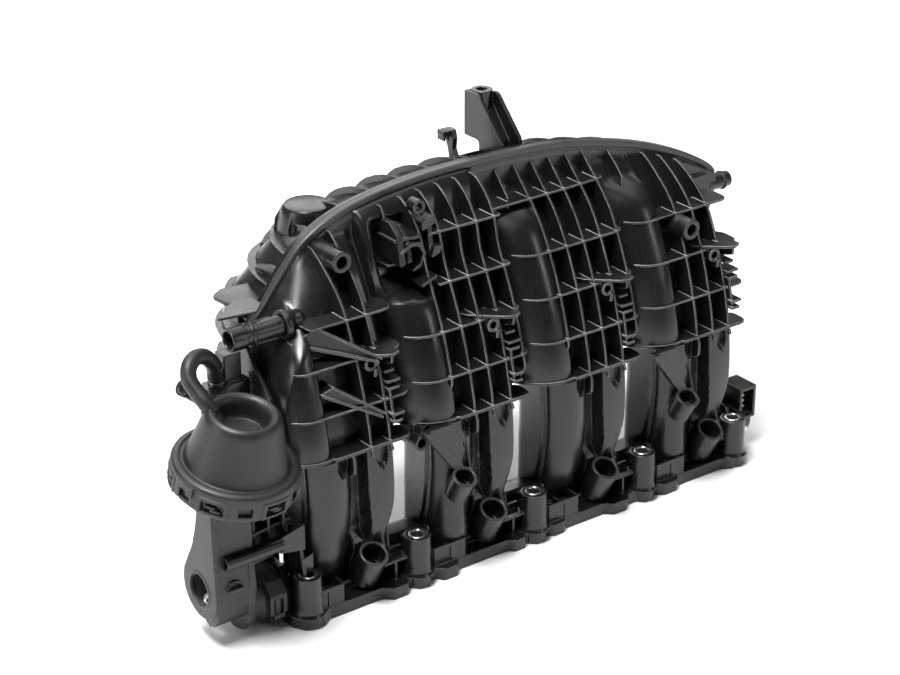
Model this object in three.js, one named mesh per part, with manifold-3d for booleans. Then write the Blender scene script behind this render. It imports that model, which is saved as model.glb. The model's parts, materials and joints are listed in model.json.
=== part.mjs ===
// Intake manifold for a four-cylinder engine: a moulded head flange with four
// curved runners, a ribbed front shell, a plenum shell behind a welded rim,
// tumble flaps on one shaft in the head flange, a vacuum actuator that turns
// them at the left end and a position sensor at the right end.
//
// Frame: millimetres, +Z up. The head flange face is the plane Z = 0. X runs
// along the cylinder row, -Y is the ribbed front, +Y is the plenum side. The
// origin is the middle of the port row on the flange face.
import * as THREE from 'three';
import { mergeVertices } from 'three/addons/utils/BufferGeometryUtils.js';
import Module from 'manifold-3d';

const wasm = await Module();
wasm.setup();

// ---------------------------------------------------------------- dimensions
const PITCH = 88;                                   // cylinder and port pitch
const PORT_X = [-132, -44, 44, 132];                // port centres
const BOLT_X = [-165.6, -88, 0, 88, 165.6];         // head bolt centres
const BOLT_Y = -22;                                 // head bolt line
const BOSS_H = 33;                                  // top of the bolt bosses
const BOSS_R = 8.2;
const SLEEVE_R = 5.4;
const SLEEVE_BORE = 3.6;
const SEG = 14;                                     // facets of a bolt boss
const FLANGE_T = 8;                                 // flange plate thickness
const FLANGE_FRONT = -26;
const FLANGE_BACK = 25;
const FLANGE_END = 176;
const PORT_W = 46;                                  // port opening, X
const PORT_D = 30;                                  // port opening, Y
const RUN_HALF = 28;                                // runner outer half width
const RUN_TOP = 97.7;                               // runners end, front shell starts
const GAP = 0.3;
const RIB_T = 1.8;
const RIB_REL = [-13.35, 0, 13.35, 26.7, 40];       // vertical ribs of one runner
const RIB_Z = [124, 150, 175];                 // horizontal ribs
const RIM_Y0 = 40;                                  // front face of the welded rim
const RIM_Y1 = 44;                                  // weld plane
const RIM_Y2 = 48.3;                                // back face of the rim
const FLOOR_DEP = 9;                                // rib depth in front of the floor
const SHAFT_Z = 19;                                 // flap shaft axis, y = 0
const SHAFT_R = 3;
const FLAP_REST = 75 * Math.PI / 180;               // flaps lean back by this much at rest
const LEVER_R = 10.4;                               // lever radius
const LEVER_REST = -32 * Math.PI / 180;             // lever angle at rest, from +y
const BORE_X = 12;                                  // throttle bore centre
const BORE_Z = 142;
const BORE_R = 31;
const THR_Y = 122;                                  // throttle flange face

// vacuum actuator: axis direction and the centre of the dome's top ring
const ACT_C = new THREE.Vector3(-200, -16.2, 143.8);
const ACT_D = new THREE.Vector3(0.075, -0.199, 0.977).normalize();
const ACT_H_BASE = 31;                              // dome base below the top ring
const ACT_H_CUP = 50;                               // cup floor below the top ring

// ------------------------------------------------------------------- helpers
const V = (x, y, z) => new THREE.Vector3(x, y, z);
function solid(geo) {
  const g = geo.clone();
  g.deleteAttribute('normal');
  g.deleteAttribute('uv');
  const m = mergeVertices(g, 1e-4);
  const q = m.attributes.position.array, t = m.index.array;
  let vol = 0;                                       // keep the faces pointing out
  for (let i = 0; i < t.length; i += 3) {
    const [a, b, c] = [3 * t[i], 3 * t[i + 1], 3 * t[i + 2]];
    vol += q[a] * (q[b + 1] * q[c + 2] - q[b + 2] * q[c + 1]) - q[a + 1] * (q[b] * q[c + 2] - q[b + 2] * q[c]) + q[a + 2] * (q[b] * q[c + 1] - q[b + 1] * q[c]);
  }
  if (vol < 0) for (let i = 0; i < t.length; i += 3) [t[i], t[i + 1]] = [t[i + 1], t[i]];
  return new wasm.Manifold(new wasm.Mesh({
    numProp: 3,
    vertProperties: new Float32Array(m.attributes.position.array),
    triVerts: new Uint32Array(m.index.array),
  }));
}
function geometry(man) {
  const m = man.getMesh();
  const g = new THREE.BufferGeometry();
  g.setAttribute('position', new THREE.BufferAttribute(new Float32Array(m.vertProperties), 3));
  g.setIndex(new THREE.BufferAttribute(new Uint32Array(m.triVerts), 1));
  g.computeVertexNormals();
  return g;
}
const union = (...list) => list.flat(3).reduce((a, b) => a.add(b));
const cut = (a, ...list) => list.flat(3).reduce((p, q) => p.subtract(q), a);

function shapeOf(pts, holes = []) {
  const s = new THREE.Shape(pts.map(p => new THREE.Vector2(p[0], p[1])));
  for (const h of holes) s.holes.push(new THREE.Path(h.map(p => new THREE.Vector2(p[0], p[1]))));
  return s;
}
const raw = (shape, depth) => new THREE.ExtrudeGeometry(shape, { depth, bevelEnabled: false, steps: 1 });
// outline in X-Y, raised along Z
function prismZ(pts, z0, z1, holes) {
  return solid(raw(shapeOf(pts, holes), z1 - z0).translate(0, 0, z0));
}
// outline in Y-Z, run along X
function prismX(pts, x0, x1, holes) {
  const g = raw(shapeOf(pts, holes), x1 - x0);
  g.applyMatrix4(new THREE.Matrix4().makeBasis(V(0, 1, 0), V(0, 0, 1), V(1, 0, 0)));
  return solid(g.translate(x0, 0, 0));
}
// outline in X-Z, run along Y
function prismY(pts, y0, y1, holes) {
  const g = raw(shapeOf(pts, holes), y1 - y0);
  g.applyMatrix4(new THREE.Matrix4().makeBasis(V(1, 0, 0), V(0, 0, 1), V(0, -1, 0)));
  return solid(g.translate(0, y1, 0));
}
function box(x0, x1, y0, y1, z0, z1) {
  return solid(new THREE.BoxGeometry(x1 - x0, y1 - y0, z1 - z0)
    .translate((x0 + x1) / 2, (y0 + y1) / 2, (z0 + z1) / 2));
}
function cyl(a, b, r, seg = 16, r2 = r) {
  const d = b.clone().sub(a);
  const g = new THREE.CylinderGeometry(r2, r, d.length(), seg, 1);
  g.applyQuaternion(new THREE.Quaternion().setFromUnitVectors(V(0, 1, 0), d.clone().normalize()));
  const m = a.clone().add(b).multiplyScalar(0.5);
  return solid(g.translate(m.x, m.y, m.z));
}
function ring(a, b, r, bore, seg = 16) {
  const d = b.clone().sub(a).normalize().multiplyScalar(1);
  return cut(cyl(a, b, r, seg), cyl(a.clone().sub(d), b.clone().add(d), bore, seg));
}
// profile [radius, height] turned about the line through o along d
function lathe(profile, o, d, seg = 24) {
  if (profile[0][0] > 0) profile = [...profile, profile[0]];
  const g = new THREE.LatheGeometry(profile.map(p => new THREE.Vector2(p[0], p[1])), seg);
  g.applyQuaternion(new THREE.Quaternion().setFromUnitVectors(V(0, 1, 0), d.clone().normalize()));
  return solid(g.translate(o.x, o.y, o.z));
}
// closed sections (arrays of Vector3, same count, same sense) joined in order
function loft(sections, capOf) {
  const n = sections[0].length, pos = [], idx = [];
  for (const s of sections) for (const p of s) pos.push(p.x, p.y, p.z);
  for (let i = 0; i + 1 < sections.length; i++) for (let j = 0; j < n; j++) {
    const a = i * n + j, b = i * n + (j + 1) % n, c = a + n, d = b + n;
    idx.push(a, b, d, a, d, c);
  }
  const cap = (k, flip) => {
    const flat = sections[k].map(capOf);
    for (const t of THREE.ShapeUtils.triangulateShape(flat, [])) {
      const [a, b, c] = t.map(i => i + k * n);
      flip ? idx.push(a, c, b) : idx.push(a, b, c);
    }
  };
  cap(0, true);
  cap(sections.length - 1, false);
  const g = new THREE.BufferGeometry();
  g.setAttribute('position', new THREE.Float32BufferAttribute(pos, 3));
  g.setIndex(idx);
  return solid(g);
}
function table(t) {                                  // piecewise linear look-up
  return v => {
    if (v <= t[0][0]) return t[0][1];
    for (let i = 0; i + 1 < t.length; i++) if (v <= t[i + 1][0]) {
      const k = (v - t[i][0]) / (t[i + 1][0] - t[i][0]);
      return t[i][1] + k * (t[i + 1][1] - t[i][1]);
    }
    return t[t.length - 1][1];
  };
}
function rrect(cx, cy, w, h, r, n = 2) {             // rounded rectangle, counter-clockwise
  const out = [];
  const c = [[w / 2 - r, h / 2 - r, 0], [-w / 2 + r, h / 2 - r, 90], [-w / 2 + r, -h / 2 + r, 180], [w / 2 - r, -h / 2 + r, 270]];
  for (const [x, y, a] of c) for (let i = 0; i <= n; i++) {
    const t = (a + 90 * i / n) * Math.PI / 180;
    out.push([cx + x + r * Math.cos(t), cy + y + r * Math.sin(t)]);
  }
  return out;
}
function disc(cx, cy, r, n = 16) {
  return Array.from({ length: n }, (_, i) => [cx + r * Math.cos(2 * Math.PI * i / n), cy + r * Math.sin(2 * Math.PI * i / n)]);
}

const mats = {
  shell: new THREE.MeshStandardMaterial({ color: 0x1b1b1d, roughness: 0.42, metalness: 0 }),
  grey: new THREE.MeshStandardMaterial({ color: 0x303236, roughness: 0.62, metalness: 0 }),
  metal: new THREE.MeshStandardMaterial({ color: 0xb9bcc0, roughness: 0.3, metalness: 1 }),
  brass: new THREE.MeshStandardMaterial({ color: 0xb08d4a, roughness: 0.35, metalness: 1 }),
  rubber: new THREE.MeshStandardMaterial({ color: 0x111112, roughness: 0.8, metalness: 0 }),
  seal: new THREE.MeshStandardMaterial({ color: 0x7a3b2c, roughness: 0.7, metalness: 0 }),
  light: new THREE.MeshStandardMaterial({ color: 0xcfc8b4, roughness: 0.6, metalness: 0 }),
};
const group = new THREE.Group();
function add(name, man, mat) {
  const mesh = new THREE.Mesh(geometry(man), mats[mat]);
  mesh.name = name;
  group.add(mesh);
}

// ----------------------------------------------------------- common profiles
// front of the lower runners against height
const runFront = table([[8, -12], [20, -13], [30, -17], [38, -19], [53, -21], [67, -22], [81, -21], [98, -18.5]]);
const runDepth = table([[8, 31], [20, 33], [30, 37], [38, 39], [53, 41], [98, 42]]);
// front edge of the ribs against height; the second runner has a fuller shoulder
const EDGE = [[96, -21], [108, -19.5], [124, -15.5], [141, -10.5], [158, -4], [176, 4.5], [189, 12], [204, 23.5], [218, 36], [224, 43]];
const EDGE_B = [[96, -21], [108, -19.5], [124, -15.5], [141, -10.5], [158, -4], [176, 4.5], [189, 10.5], [218, 16], [226, 20], [229, 28]];
const edgeOf = k => (k === 1 ? EDGE_B : EDGE);
const edge = EDGE.length && [0, 1, 2, 3].map(k => table(edgeOf(k)));
// rim outline in X-Z, counter-clockwise seen from the front (X right, Z up)
const RIM = [
  [-166, 103], [150, 103], [168, 112], [180, 132], [192, 158], [198, 174], [195, 182], [178, 193],
  [154, 204], [128, 213], [98, 220.5], [68, 226.5], [34, 229.3], [0, 230], [-34, 229.5],
  [-66, 226.5], [-90, 222], [-109, 215.5], [-124, 206.5], [-136, 194], [-148, 178], [-160, 162.5], [-167, 140],
];
const RC = [8, 165];
const shrink = (pts, d) => pts.map(([x, z]) => [RC[0] + (x - RC[0]) * (1 - d / 190), RC[1] + (z - RC[1]) * (1 - d / 62)]);
function inset(pts, d) {                             // offset a closed outline inwards
  const n = pts.length, out = [];
  for (let i = 0; i < n; i++) {
    const a = pts[(i + n - 1) % n], b = pts[i], c = pts[(i + 1) % n];
    const u = new THREE.Vector2(b[0] - a[0], b[1] - a[1]).normalize(), w = new THREE.Vector2(c[0] - b[0], c[1] - b[1]).normalize();
    const nu = new THREE.Vector2(-u.y, u.x), nw = new THREE.Vector2(-w.y, w.x);
    const m = nu.clone().add(nw).normalize();
    const k = d / Math.max(0.35, m.dot(nu));
    out.push([b[0] + m.x * k, b[1] + m.y * k]);
  }
  return out;
}

// ---------------------------------------------------------------- head flange
{
  const out = [];
  const bump = (c, w, h) => [[c - w, FLANGE_FRONT], [c - w * 0.5, FLANGE_FRONT - h], [c + w * 0.5, FLANGE_FRONT - h], [c + w, FLANGE_FRONT]];
  out.push([-FLANGE_END, -20], [-171, -28], [-160, -30], [-153, FLANGE_FRONT]);
  out.push(...bump(-105.5, 10, 5), ...bump(-69, 9, 5), ...bump(-13, 8, 3.5), ...bump(14, 8, 3), ...bump(64, 10, 4.5), ...bump(104, 10, 4.5));
  out.push([153, FLANGE_FRONT], [160, -30], [171, -28], [FLANGE_END, -20]);
  out.push([FLANGE_END, 10], [166, FLANGE_BACK], [-166, FLANGE_BACK], [-FLANGE_END, 10]);
  const ports = PORT_X.map(x => rrect(x, 0, PORT_W, PORT_D, 8));
  let f = prismZ(out, 0, FLANGE_T, ports);
  const parts = [];
  // bolt bosses and the webs that tie them to the port row
  for (const x of BOLT_X) {
    parts.push(cyl(V(x, BOLT_Y, 1), V(x, BOLT_Y, BOSS_H), BOSS_R + 0.3, SEG, BOSS_R));
    parts.push(prismX([[BOLT_Y, 2], [14, 2], [14, 14], [-4, 24], [BOLT_Y, 27]], x - 2, x + 2));
  }
  // box ribs left of each injector tube and the thin shelf right of it
  PORT_X.forEach((x) => {
    parts.push(cut(box(x - 35, x - 9, -25, -14, 4, 20), box(x - 33, x - 11, -23.3, -15.4, 9, 21)));
    parts.push(box(x + 19.4, x + 40, -23, -13.6, 18.6, 20.6));
    parts.push(box(x + 19.4, x + 40, -15.5, -13.6, 4, 20));
  });
  // bearing blocks of the flap shaft between the runners
  for (const x of [-88, 0, 88]) parts.push(prismX([[-11, 4], [11, 4], [11, 19], [6, 27], [-6, 27], [-11, 19]], x - 14, x + 14));
  // rear stiffening wall and end cheeks of the flap shaft
  parts.push(box(-166, 166, 21.6, 24.4, 4, 15));
  parts.push(prismX([[-14, 2], [14, 2], [14, 22], [8, 34], [-8, 34], [-14, 22]], -175.6, -171));
  parts.push(prismX([[-14, 2], [14, 2], [14, 22], [8, 34], [-8, 34], [-14, 22]], 171, 175.6));
  // left gusset that carries the guide tube of the actuator bracket
  parts.push(prismX([[-24, 4], [-8, 4], [-8, 62], [-15, 62], [-24, 34]], -169.5, -166.5));
  f = union(f, parts);
  // guide tube in front of the actuator bracket
  f = union(f, cyl(V(-219, -19.5, 57.5), V(-167, -19.5, 57.5), 3.9, 14));
  f = cut(f, BOLT_X.map(x => cyl(V(x, BOLT_Y, -1), V(x, BOLT_Y, BOSS_H + 1), SLEEVE_R + GAP, SEG)));
  f = cut(f, cyl(V(-220, -19.5, 57.5), V(-190, -19.5, 57.5), 2.2, 12));
  // bore for the bushes and the shaft, room for the runners, seal grooves
  f = cut(f, cyl(V(-180, 0, SHAFT_Z), V(180, 0, SHAFT_Z), 6.3, 12));
  f = cut(f, PORT_X.map(x => box(x - RUN_HALF - 0.4, x + RUN_HALF + 0.4, -12.9, 21.2, FLANGE_T, 60)));
  f = cut(f, PORT_X.map(x => prismZ(rrect(x, 0, PORT_W + 9, PORT_D + 9, 12), -1, 2.6, [rrect(x, 0, PORT_W + 3.4, PORT_D + 3.4, 9.5)])));
  add('head_flange', f, 'shell');
}
BOLT_X.forEach((x, i) => add(`bolt_sleeve_${i + 1}`, ring(V(x, BOLT_Y, 0.3), V(x, BOLT_Y, BOSS_H + 0.4), SLEEVE_R, SLEEVE_BORE, SEG), 'metal'));
PORT_X.forEach((x, i) => add(`port_seal_${i + 1}`,
  prismZ(rrect(x, 0, PORT_W + 8.2, PORT_D + 8.2, 11.6), 0.1, 2.3, [rrect(x, 0, PORT_W + 4.2, PORT_D + 4.2, 9.8)]), 'seal'));

// -------------------------------------------------------------------- runners
function runnerSection(x, z) {
  const f = runFront(z), D = runDepth(z);
  const w = RUN_HALF;
  const g = z < 36 ? 1 : 3.6, q = z < 36 ? 26.4 : 25.2;
  const pts = [[-22, 0], [1.5, 0], [2.6, g], [8.4, g], [9.5, 0], [23.5, 0], [w, 5], [w, D - 8], [21, D],
    [-21, D], [-w, D - 8], [-w, 13], [-q, 9], [-q, 3]];
  return pts.map(p => V(x + p[0], f + p[1], z));
}
function ductSection(x, z, y0, y1, hw = PORT_W / 2) {
  return rrect(x, (y0 + y1) / 2, hw * 2, y1 - y0, 8, 2).map(p => V(p[0], p[1], z));
}
const flatXY = p => new THREE.Vector2(p.x, p.y);
const flatYZ = p => new THREE.Vector2(p.y, p.z);
const flatXZ = p => new THREE.Vector2(p.x, p.z);
const INJ_D = V(0, 0.49, -0.872).normalize();
PORT_X.forEach((x, k) => {
  const zs = [FLANGE_T + GAP, 20, 32, 53, 76, RUN_TOP];
  let r = loft(zs.map(z => runnerSection(x, z)), flatXY);
  // injector tube at the foot
  const inj = V(x + 9.6, -27, 34.3);
  const injEnd = inj.clone().addScaledVector(INJ_D, 24);
  r = union(r, cyl(inj, injEnd, 9, 14));
  r = union(r, prismX([[-24, 34], [-16, 46], [-16, 60], [-20.5, 60]], x + 3, x + 16));
  // fuel rail holder on the second and fourth runner
  if (k % 2 === 1) {
    const m = V(x - 13.2, -27, 64.5);
    r = union(r, cyl(m, m.clone().addScaledVector(INJ_D, 16), 7.6, 12));
    r = union(r, prismX([[-28, 50], [-18, 44], [-18, 62], [-24, 66]], x - 22.5, x - 19.5));
    r = cut(r, cyl(m.clone().addScaledVector(INJ_D, -1), m.clone().addScaledVector(INJ_D, 9), 5.2, 10));
  }
  // hollow channel with the flap window
  const duct = loft([
    ductSection(x, 0, -15, 15), ductSection(x, 22, -9.5, 16), ductSection(x, 53, -14.2, 16.2), ductSection(x, 75, -15, 16), ductSection(x, 99, -11.5, 19)], flatXY);
  r = cut(r, duct, box(x - 24, x + 24, -9.5, 15, 0, 34.5));
  r = cut(r, cyl(inj.clone().addScaledVector(INJ_D, -1), inj.clone().addScaledVector(INJ_D, 15), 6.8, 12), cyl(inj, inj.clone().addScaledVector(INJ_D, 27), 4, 10));
  r = cut(r, cyl(V(x - 40, 0, SHAFT_Z), V(x + 40, 0, SHAFT_Z), SHAFT_R + 0.6, 10));
  r = r.intersect(box(x - 43, x + 43, -40, 40, FLANGE_T + GAP, 200));
  add(`runner_${k + 1}`, r, 'shell');
});

// ---------------------------------------------------------------- front shell
{
  // flat floor behind the ribs, one block per rib profile
  const floor = (k, x0, x1) => prismX([...edgeOf(k).filter(([z]) => z > 98).map(([z, y]) => [Math.min(43, y + FLOOR_DEP), z]),
    [RIM_Y1, 233], [RIM_Y1, 98.3], [edge[k](98.3) + FLOOR_DEP, 98.3]], x0, x1);
  // smooth lobe at the left of each runner
  const LOBE = [[-38.2, 9.6], [-34.6, 4.6], [-28, 1.8], [-19, 1], [-10, 1.8], [-3.4, 4.6], [0.2, 9.6], [0.2, 20], [-38.2, 20]];
  const lobeDep = rel => table(LOBE.slice(0, 7))(rel);
  const lobe = k => {
    const zs = k === 1 ? [98.3, 124, 158, 189, 218, 226, 233] : [98.3, 124, 158, 189, 204, 222];
    return loft(zs.map(z => LOBE.map(([r, d]) => V(PORT_X[k] + r, edge[k](z) + d, z))), flatXY);
  };
  let s = union(floor(0, -168, -88.2), floor(1, -88.6, -0.4), floor(2, -0.8, 162), [0, 1, 2, 3].map(lobe));
  s = s.intersect(prismY(inset(RIM, 5).map(([x, z], i) => (i === 0 ? [-167, 98.3] : i === 1 ? [160, 98.3] : i === 2 ? [161.5, 112] : i === 3 ? [161.5, 132] : i === 4 ? [164, 150] : [x, z])), -60, RIM_Y1));
  // ribs
  const ribs = [];
  PORT_X.forEach((px, k) => {
    const e = edge[k], T = edgeOf(k);
    RIB_REL.forEach((rel, i) => {
      const lo = [112, 98.3, 98.3, 98.3, 107][i];
      const front = [[e(lo) + (i === 0 || i === 4 ? 5 : 0), lo]];
      for (const [z, y] of T) if (z > lo + 3 && z !== 141 && z !== 176 && z !== 204) front.push([y, z]);
      const back = [[RIM_Y1, front[front.length - 1][1]], [e(141) + 13, 141], [e(lo) + 12, lo]];
      ribs.push(prismX([...front, ...back], px + rel - RIB_T / 2, px + rel + RIB_T / 2));
    });
    RIB_Z.forEach((z) => {
      const pts = [];
      for (const rel of [-35, -28, -19]) pts.push([px + rel, e(z) + lobeDep(rel) - 1.4]);
      pts.push([px - 12, e(z)], [px + 43.6, e(z)], [px + 43.6, e(z) + 13], [px - 36, e(z) + 13]);
      ribs.push(prismZ(pts, z - RIB_T / 2, z + RIB_T / 2));
    });
    // lip at the foot of the rib field
    const pts = [];
    for (const rel of [-37, -30, -19]) pts.push([px + rel, -20.2 + (lobeDep(rel) - 1) * 0.5]);
    pts.push([px - 12, -21.5], [px + 41, -21.5], [px + 41, -6], [px - 37, -6]);
    ribs.push(prismZ(pts, 98.3, 100.3));
    // accessory post
    ribs.push(cyl(V(px + 21.4, -9.6, 146.4), V(px + 21.4, 6, 146.4), 4.3, 10));
    // shelf right of the post
    ribs.push(prismX([[-13, 150.5], [-3, 150.5], [-3, 147.5]], px + 27, px + 39));
  });
  const clip = prismY(inset(RIM, 1.5).map(([x, z], i) => (i === 0 ? [-168, 98.3] : i === 1 ? [176, 98.3] : i === 2 ? [176, 112] : i === 3 ? [176, 132] : i === 4 ? [180, 150] : [x, z])), -60, RIM_Y1);
  const ribSolid = union(ribs).intersect(clip);
  // welded rim
  const rim = prismY(RIM, RIM_Y0, RIM_Y1, [inset(RIM, 9.5).slice().reverse()]);
  s = union(s, ribSolid, rim);
  // plain wall at the right end and the stub pipe through it
  s = union(s, prismY([[160, 103], [168, 112], [180, 132], [192, 158], [196, 174], [194, 181], [160, 196]], 33.8, RIM_Y1));
  s = union(s, cyl(V(188, 38.4, 171), V(207, 38.4, 171), 5.2, 14));
  s = cut(s, cyl(V(174, 38.4, 171), V(208, 38.4, 171), 3.3, 10), cyl(V(177.5, 38.4, 171), V(177.5, 45, 171), 2.9, 10));
  // two wide hollow posts
  s = union(s, cyl(V(-112, 17, 200.5), V(-112, 40, 198), 6.4, 16), cyl(V(134, -8, 168), V(134, 14, 168), 6.4, 16));
  // left blade that ties the shell end to the flange side
  s = union(s, prismX([[-6, 98.3], [20, 98.3], [38, 130], [42, 160], [22, 160], [4, 135]], -171, -168.5), box(-171, -166, 12, 40, 98.3, 112));
  // runner channels, curving back through the weld plane
  const path = [[4, 96], [6, 110], [12.5, 130], [24, 152], [50, 176]];
  PORT_X.forEach((px) => {
    const secs2 = path.map((p, i) => {
      const a = path[Math.max(0, i - 1)], b = path[Math.min(path.length - 1, i + 1)];
      const t = new THREE.Vector2(b[0] - a[0], b[1] - a[1]).normalize();
      const h = i === 0 ? 15 : 14.2;
      return rrect(0, 0, PORT_W, 2 * h, 8, 2).map(q => V(px + q[0], p[0] + q[1] * t.y, p[1] - q[1] * t.x));
    });
    s = cut(s, loft(secs2, i => new THREE.Vector2(i.x, i.y)));
  });
  // hollow between the runner backs and the weld plane, open to the plenum
  s = cut(s, prismX([[30, 104], [45, 104], [45, 150], [42, 147], [34, 128]], -160, 155));
  s = cut(s, prismX([[45, 186], [45, 212], [38, 210], [34, 198]], -122, 150).intersect(prismY(shrink(RIM, 13), 0, 60)));
  s = cut(s, PORT_X.map(px => cyl(V(px + 21.4, -11, 146.4), V(px + 21.4, -1, 146.4), 2.4, 8)));
  s = cut(s, cyl(V(-112, 16, 200.6), V(-112, 26, 199.5), 3.4, 12), cyl(V(134, -9, 168), V(134, 1, 168), 3.4, 12));
  // small tube on the web between the first two runners
  s = union(s, cyl(V(-81, -13.5, 103), V(-81, -2, 103), 5, 12));
  s = cut(s, cyl(V(-81, -15, 103), V(-81, -6, 103), 3, 10));
  // boss for the vacuum nozzle
  s = union(s, cyl(V(-153, 18, 172), V(-134, 18, 172), 7.4, 14));
  s = cut(s, cyl(V(-154, 18, 172), V(-138, 18, 172), 5.2, 14));
  // room for the lock ring of the actuator
  s = cut(s, cyl(ACT_C.clone().addScaledVector(ACT_D, -52), ACT_C.clone().addScaledVector(ACT_D, -26), 37.4, 24));
  add('front_shell', s, 'shell');
}

// ----------------------------------------------------------------- rear shell
{
  const lay = [[RIM_Y1 + GAP, 6], [84, 12], [106, 34]];
  const outer = loft(lay.map(([y, d]) => inset(RIM, 1).map(([x, z]) => {
    const k = 1 - d / 62;
    return V(RC[0] + (x - RC[0]) * (1 - d / 190), y, RC[1] + (z - RC[1]) * k);
  })).reverse(), flatXZ);
  const lay2 = [[RIM_Y1 - 1, 10], [82, 16], [102.5, 37]];
  const inner = loft(lay2.map(([y, d]) => inset(RIM, 1).map(([x, z]) => {
    const k = 1 - d / 62;
    return V(RC[0] + (x - RC[0]) * (1 - d / 190), y, RC[1] + (z - RC[1]) * k);
  })).reverse(), flatXZ);
  let s = union(outer, prismY(RIM, RIM_Y1 + GAP, RIM_Y2));
  // outside rib grid of the plenum
  const ribs = [];
  for (const x of [-110, -55, 82, 140]) ribs.push(prismX([[60, 110], [112, 110], [112, 232], [60, 232]], x - 1, x + 1));
  for (const z of [188]) ribs.push(prismZ([[-175, 60], [195, 60], [195, 112], [-175, 112]], z - 1, z + 1));
  const env = loft(lay.map(([y, d]) => inset(RIM, 0).map(([x, z]) => {
    const e = d - 5.5;
    return V(RC[0] + (x - RC[0]) * (1 - e / 190), y + (y > 60 ? 4.5 : 0), RC[1] + (z - RC[1]) * (1 - e / 62));
  })).reverse(), flatXZ);
  s = union(s, union(ribs).intersect(env));
  // throttle flange
  const tf = rrect(BORE_X, BORE_Z, 88, 84, 12, 3);
  s = union(s, prismY(tf, THR_Y - 9, THR_Y), cyl(V(BORE_X, 88, BORE_Z), V(BORE_X, THR_Y - 1, BORE_Z), BORE_R + 5, 24));
  const BSEG = 24;
  const TI = [[-34, -32], [34, -32], [-34, 32], [34, 32]];
  s = union(s, TI.map(([a, b]) => cyl(V(BORE_X + a, 97, BORE_Z + b), V(BORE_X + a, THR_Y, BORE_Z + b), 7, 10)));
  s = cut(s, inner);
  s = cut(s, cyl(V(BORE_X, 80, BORE_Z), V(BORE_X, THR_Y + 1, BORE_Z), BORE_R, BSEG));
  s = cut(s, TI.map(([a, b]) => cyl(V(BORE_X + a, THR_Y - 15, BORE_Z + b), V(BORE_X + a, THR_Y + 1, BORE_Z + b), 4.3, 10)));
  s = cut(s, ring(V(BORE_X, THR_Y - 2.6, BORE_Z), V(BORE_X, THR_Y + 1, BORE_Z), BORE_R + 6, BORE_R + 2.4, BSEG));
  // gusseted support bracket on top
  let b = prismX([[50, 214], [73, 196], [73, 226], [88, 226], [88, 255], [73, 255], [50, 230]], 29, 45);
  b = cut(b, prismX([[46, 220], [46, 232], [72, 262], [79, 262], [79, 248], [60, 226], [60, 220]], 31.2, 42.8));
  b = union(b, cyl(V(37, 80.5, 238), V(37, 80.5, 256), 5.2, 12), prismX([[50, 205], [88, 188], [88, 206], [50, 220]], 29, 45));
  b = cut(b, cyl(V(37, 80.5, 232), V(37, 80.5, 257), 3.3, 10));
  // small hook left of it
  const h = union(prismX([[60, 212], [82, 200], [82, 232], [76, 237], [60, 226]], 11, 13.5), box(3, 13.5, 74, 82, 233, 237));
  // flat wing at the left end and a rounded dome corner
  const wing = prismZ([[-140, 50], [-130, 74], [-156, 78], [-165, 72], [-164, 60], [-158, 50]], 171.5, 174.5);
  const dome = cyl(V(-98, 72, 190), V(-98, 72, 216), 20, 12, 16);
  s = cut(union(s, b, h, wing, dome), inner);
  // tabs of the rim at the right end
  s = union(s, prismY(rrect(190, 160, 14, 12, 5, 3), RIM_Y1 + GAP, RIM_Y2));
  add('rear_shell', s, 'shell');
  add('throttle_seal', ring(V(BORE_X, THR_Y - 2.3, BORE_Z), V(BORE_X, THR_Y - 0.3, BORE_Z), BORE_R + 5.7, BORE_R + 2.7, 24), 'seal');
  TI.forEach(([a, c], i) => add(`throttle_insert_${i + 1}`, ring(V(BORE_X + a, THR_Y - 14.5, BORE_Z + c), V(BORE_X + a, THR_Y - 0.3, BORE_Z + c), 4, 2.5, 10), 'brass'));
}
// inner shell: one plate with four bell mouths, inside the plenum
{
  let p = prismY(rrect(2, 178, 320, 36, 10, 3), RIM_Y1 + 6, RIM_Y1 + 9);
  PORT_X.forEach(x => {
    p = union(p, prismY(rrect(x, 178, PORT_W + 6, 34, 9, 3), RIM_Y1 + 6, RIM_Y1 + 22));
  });
  p = p.intersect(prismY(shrink(RIM, 22), 40, 80));
  p = cut(p, PORT_X.map(x => prismY(rrect(x, 178, PORT_W, 28, 8, 3), RIM_Y1, RIM_Y1 + 30)));
  add('inner_shell', p, 'shell');
}

// ------------------------------------------------------- flap shaft and flaps
add('flap_shaft', cyl(V(-205.9, 0, SHAFT_Z), V(189, 0, SHAFT_Z), SHAFT_R, 14), 'metal');
[-173.3, -88, 0, 88, 173.3].forEach((x, i) => {
  const w = Math.abs(x) > 100 ? 2.2 : 1.9;
  add(`shaft_bush_${i + 1}`, ring(V(x - w, 0, SHAFT_Z), V(x + w, 0, SHAFT_Z), 6.0, SHAFT_R + GAP, 12), 'light');
});
PORT_X.forEach((x, i) => {
  let f = union(cyl(V(x - 22, 0, SHAFT_Z), V(x + 22, 0, SHAFT_Z), 5, 12), solid(new THREE.BoxGeometry(44, 2, 13.6).translate(0, 0, 6.8).rotateX(-FLAP_REST).translate(x, 0, SHAFT_Z)));
  f = cut(f, cyl(V(x - 23, 0, SHAFT_Z), V(x + 23, 0, SHAFT_Z), SHAFT_R + GAP, 10));
  add(`flap_${i + 1}`, f, 'light');
});

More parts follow.
